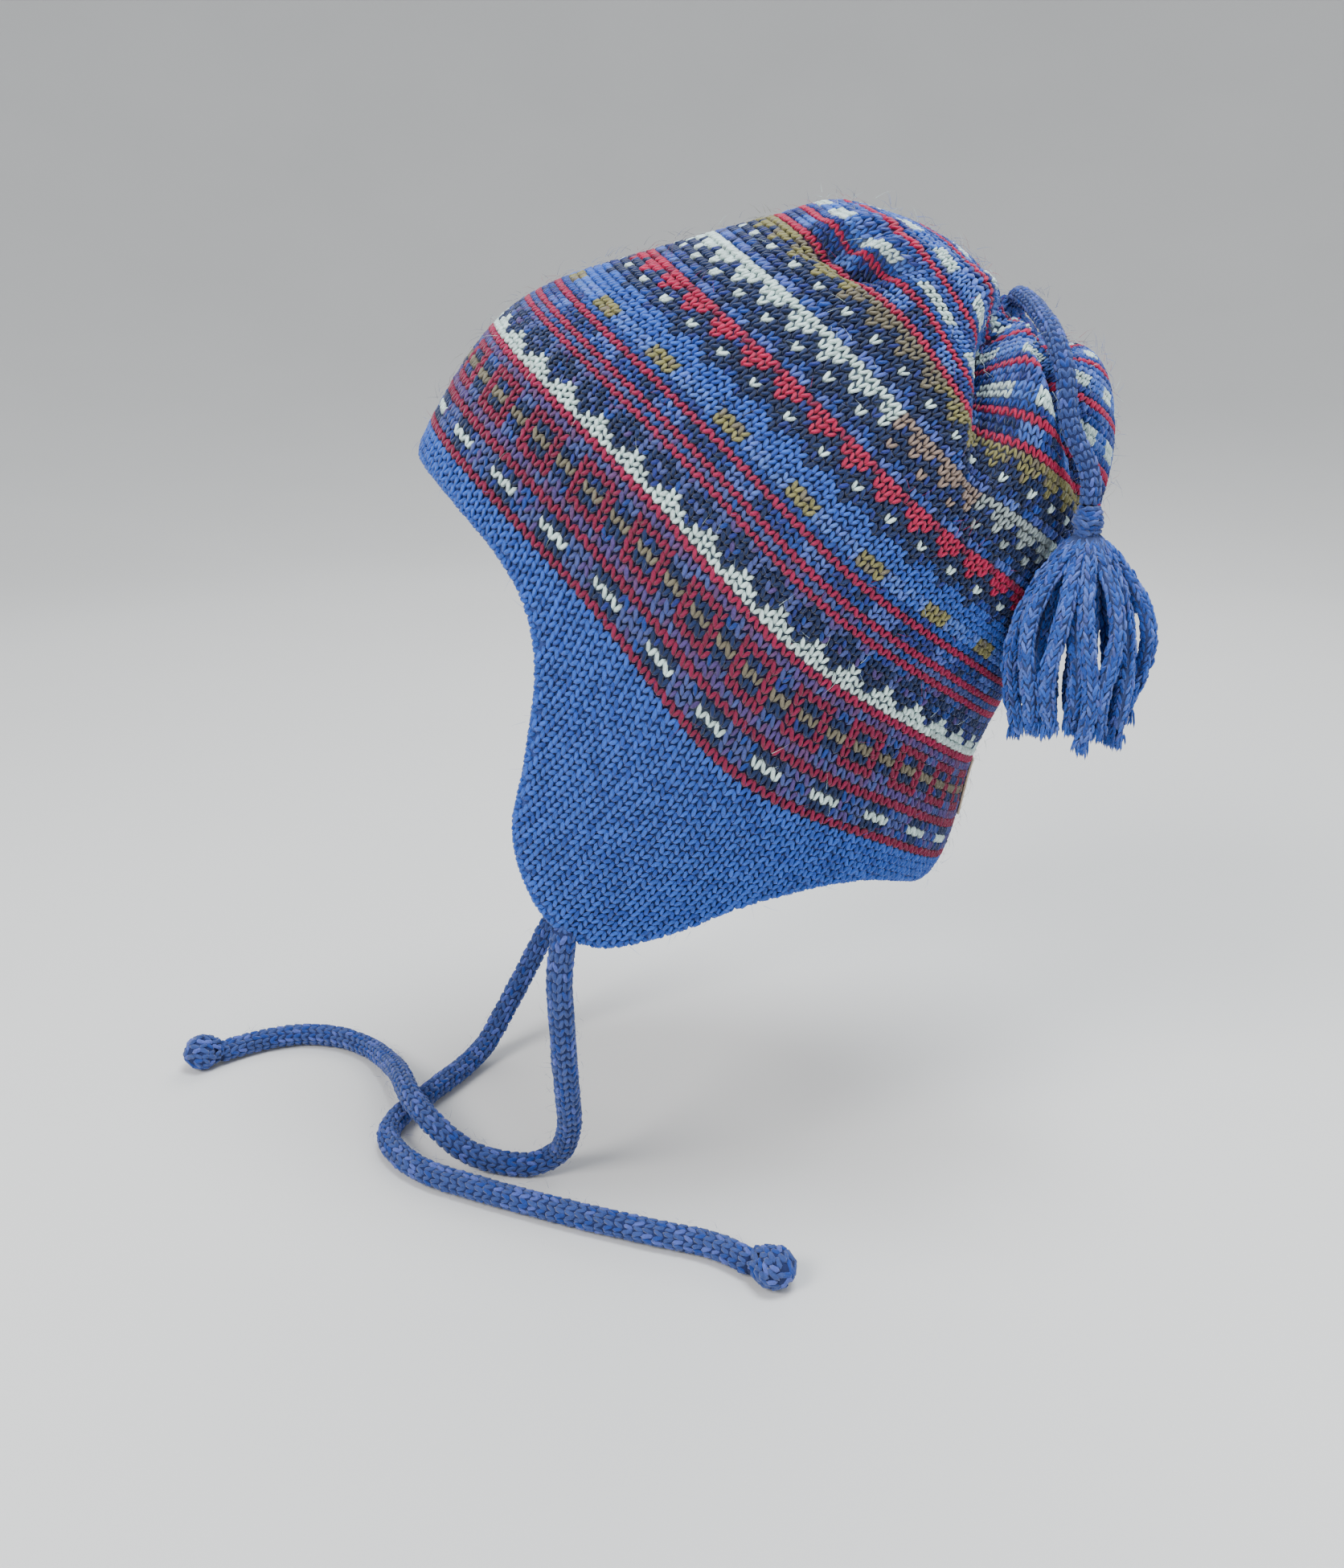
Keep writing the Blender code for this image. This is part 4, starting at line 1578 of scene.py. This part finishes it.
def build_patch(kit):
    """The plain patch at the nape, with a stitched edge."""
    across, up = PATCH_GRID
    angles = np.linspace(HALF_TURN - PATCH_HALF_ANGLE, HALF_TURN + PATCH_HALF_ANGLE, across + 1)
    columns = np.arange(across + 1)
    from_side = np.minimum(columns, across - columns)
    shell = Shell()
    layers = []
    for outset in (PATCH_LIFT, PATCH_LIFT + PATCH_THICKNESS):
        layer = []
        for line, row in enumerate(np.linspace(*PATCH_ROWS, up + 1)):
            edge = np.minimum(from_side, min(line, up - line)) < PATCH_BORDER
            layer.append(shell.ring(face_point(angles, row, outset), columns, line, edge))
        skin(shell.shape, layer, closed=False)
        layers.append(layer)
    inner, outer = layers
    for end in (0, -1):
        skin(shell.shape, [inner[end], outer[end]], closed=False)
        skin(shell.shape, [[line[end] for line in layer] for layer in layers], closed=False)
    cloth = shell.piece("nape_patch", patch_material())
    legs = Legs()
    lift = PATCH_LIFT + PATCH_THICKNESS * STITCH_HEIGHT
    turns = np.linspace(angles[0] + STITCH_INSET, angles[-1] - STITCH_INSET, PATCH_STITCHES)
    for edge_row, way in zip(PATCH_ROWS, (1, -1)):
        row = edge_row + STITCH_FROM_EDGE * way
        start = face_point(turns, row - STITCH_HALF_ROWS * way, lift)
        end = face_point(turns + STITCH_SLANT, row + STITCH_HALF_ROWS * way, lift)
        out, _ = directions(turns, row)
        legs.add(start, end, out, STITCH_WIDTH, STITCH_DEPTH, YARN_LIGHT["E"])
    stitches = grown("nape_patch_stitches", legs, PATCH_SEED, kit.tree, kit.wool)
    dress("label_cloth", "nape_label", cloth, stitches)


# Stray hairs

def add_hairs(hairs, spots, out, light, length, chance):
    """Hairs that lean out of the wool, each its own way."""
    count = len(spots)
    side = unit(np.cross(out, chance.normal(size=(count, 3))))
    lean = unit(out * chance.uniform(*HAIR_LEANS, count)[:, None] + side * HAIR_SIDEWAYS)
    reach = length * chance.uniform(*HAIR_REACHES, count) ** 1.5
    tips = spots + lean * reach[:, None]
    hairs.add(spots, tips, unit(out - side * HAIR_CURL), HAIR_THICKNESS, HAIR_THICKNESS, light)


def build_hairs(wool, routes):
    """Stray hairs all over the knit, the ties and the braid."""
    chance = np.random.default_rng(HAIR_SEEDS.draws)
    hairs = Legs()
    wales = chance.uniform(0, WALES, HAIRS)
    rows = chance.uniform(*HAIR_ROWS, HAIRS)
    keep = BAND_EDGE.rows_down(KNIT.angle(wales, rows)) + rows > HAIR_EDGE_CLEAR
    wales = wales[keep]
    rows = rows[keep]
    light = np.array([YARN_LIGHT[yarn_at(wale, int(row))] for wale, row in zip(wales, rows)])
    add_hairs(hairs, KNIT.point(wales, rows), KNIT.out(wales, rows), light, HAIR_LENGTH, chance)
    for route, radius, count in routes:
        at = chance.uniform(0, route.length, count)
        spots, out = route.place(at, chance.uniform(0, math.tau, count), radius)
        clear = (out[:, 2] > 0) | (spots[:, 2] > TABLE_Z + HAIR_LENGTH)
        add_hairs(hairs, spots[clear], out[clear], YARN_LIGHT["J"], HAIR_LENGTH * CORD_HAIR, chance)
    tree = fibre_tree("stray_hairs", hair, HAIR_SIZES)
    piece = grown("stray_wool_hairs", hairs, HAIR_SEEDS.tones, tree, wool)
    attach(piece, "root")


# Room, lights and camera

def build_room():
    """A plain pale floor that turns up into a wall all round."""
    material, graph = new_material("pale_floor")
    finish_material(graph, ramp(graph, noise(graph, 3), (0.72, 0.72, 0.71), (0.78, 0.78, 0.77)), 0.8)
    shape = bmesh.new()
    centre = shape.verts.new((0, 0, TABLE_Z))
    spokes = [math.tau * side / FLOOR_SIDES for side in range(FLOOR_SIDES)]
    rings = []
    for turn in np.linspace(0, WALL_TURN, WALL_RINGS):
        radius = FLOOR_FLAT + WALL_BEND * math.sin(turn)
        z = TABLE_Z + WALL_BEND - WALL_BEND * math.cos(turn)
        spots = [(radius * math.cos(spoke), radius * math.sin(spoke), z) for spoke in spokes]
        rings.append([shape.verts.new(spot) for spot in spots])
    fan(shape, rings[0], centre)
    skin(shape, rings[::-1])
    mesh_from("floor", shape, material, closed=False)


def place_object(name, data, place, way):
    """A lamp or camera that looks one way."""
    thing = bpy.data.objects.new(name, data)
    thing.location = place
    thing.rotation_mode = "QUATERNION"
    thing.rotation_quaternion = way.to_track_quat("-Z", "Y")
    bpy.context.scene.collection.objects.link(thing)
    return thing


def build_lights():
    """Soft lamps round the hat, and a pale sky."""
    for lamp in LAMPS:
        light = bpy.data.lights.new(lamp.name, "AREA")
        light.shape = "DISK"
        light.size = lamp.size
        light.energy = lamp.power
        light.color = lamp.colour
        place_object(lamp.name, light, lamp.place, Vector(LAMP_AIM) - Vector(lamp.place))
    world = bpy.data.worlds.new("studio")
    world.use_nodes = True
    bpy.context.scene.world = world
    sky = world.node_tree.nodes["Background"]
    sky.inputs["Color"].default_value = SKY_COLOUR
    sky.inputs["Strength"].default_value = SKY_STRENGTH


def build_camera():
    """The camera, pitched down and turned a little."""
    level = math.cos(CAMERA_PITCH)
    across = -level * math.sin(CAMERA_YAW)
    view = Vector((-level * math.cos(CAMERA_YAW), across, -math.sin(CAMERA_PITCH)))
    lens = bpy.data.cameras.new("camera")
    lens.lens = CAMERA_LENS
    lens.sensor_width = CAMERA_SENSOR
    bpy.context.scene.camera = place_object("camera", lens, CAMERA_PLACE, view)


def main():
    """The camera, the room and the cords first, then the crown, the band, the patch and the hairs."""
    build_camera()
    build_lights()
    build_room()
    kit = Kit(fibre_tree("knitted_legs", spindle, LEG_SIZES), wool_material(), shell_material())
    routes = [
        (build_tie("tie_left", TIE_LEFT_ROUTE, kit, TIE_LEFT_SEED), TIE_RADIUS, TIE_HAIRS),
        (build_tie("tie_right", TIE_RIGHT_ROUTE, kit, TIE_RIGHT_SEED), TIE_RADIUS, TIE_HAIRS),
        (build_braid_and_tassel(kit), BRAID_RADIUS, BRAID_HAIRS),
    ]
    for name, first, last in CROWN_PIECES:
        knit = grown(name, knit_rows(first, last), first, kit.tree, kit.wool)
        dress("patterned_knit", "crown", knit)
    dress("patterned_knit", "crown", build_crown_shell(kit.behind))
    band = grown("knit_band_and_flaps", band_legs(), BAND_SEEDS.tones, kit.tree, kit.wool)
    dress("blue_knit", "earflap_band", band, build_band_shell(kit.behind))
    build_patch(kit)
    build_hairs(kit.wool, routes)


main()
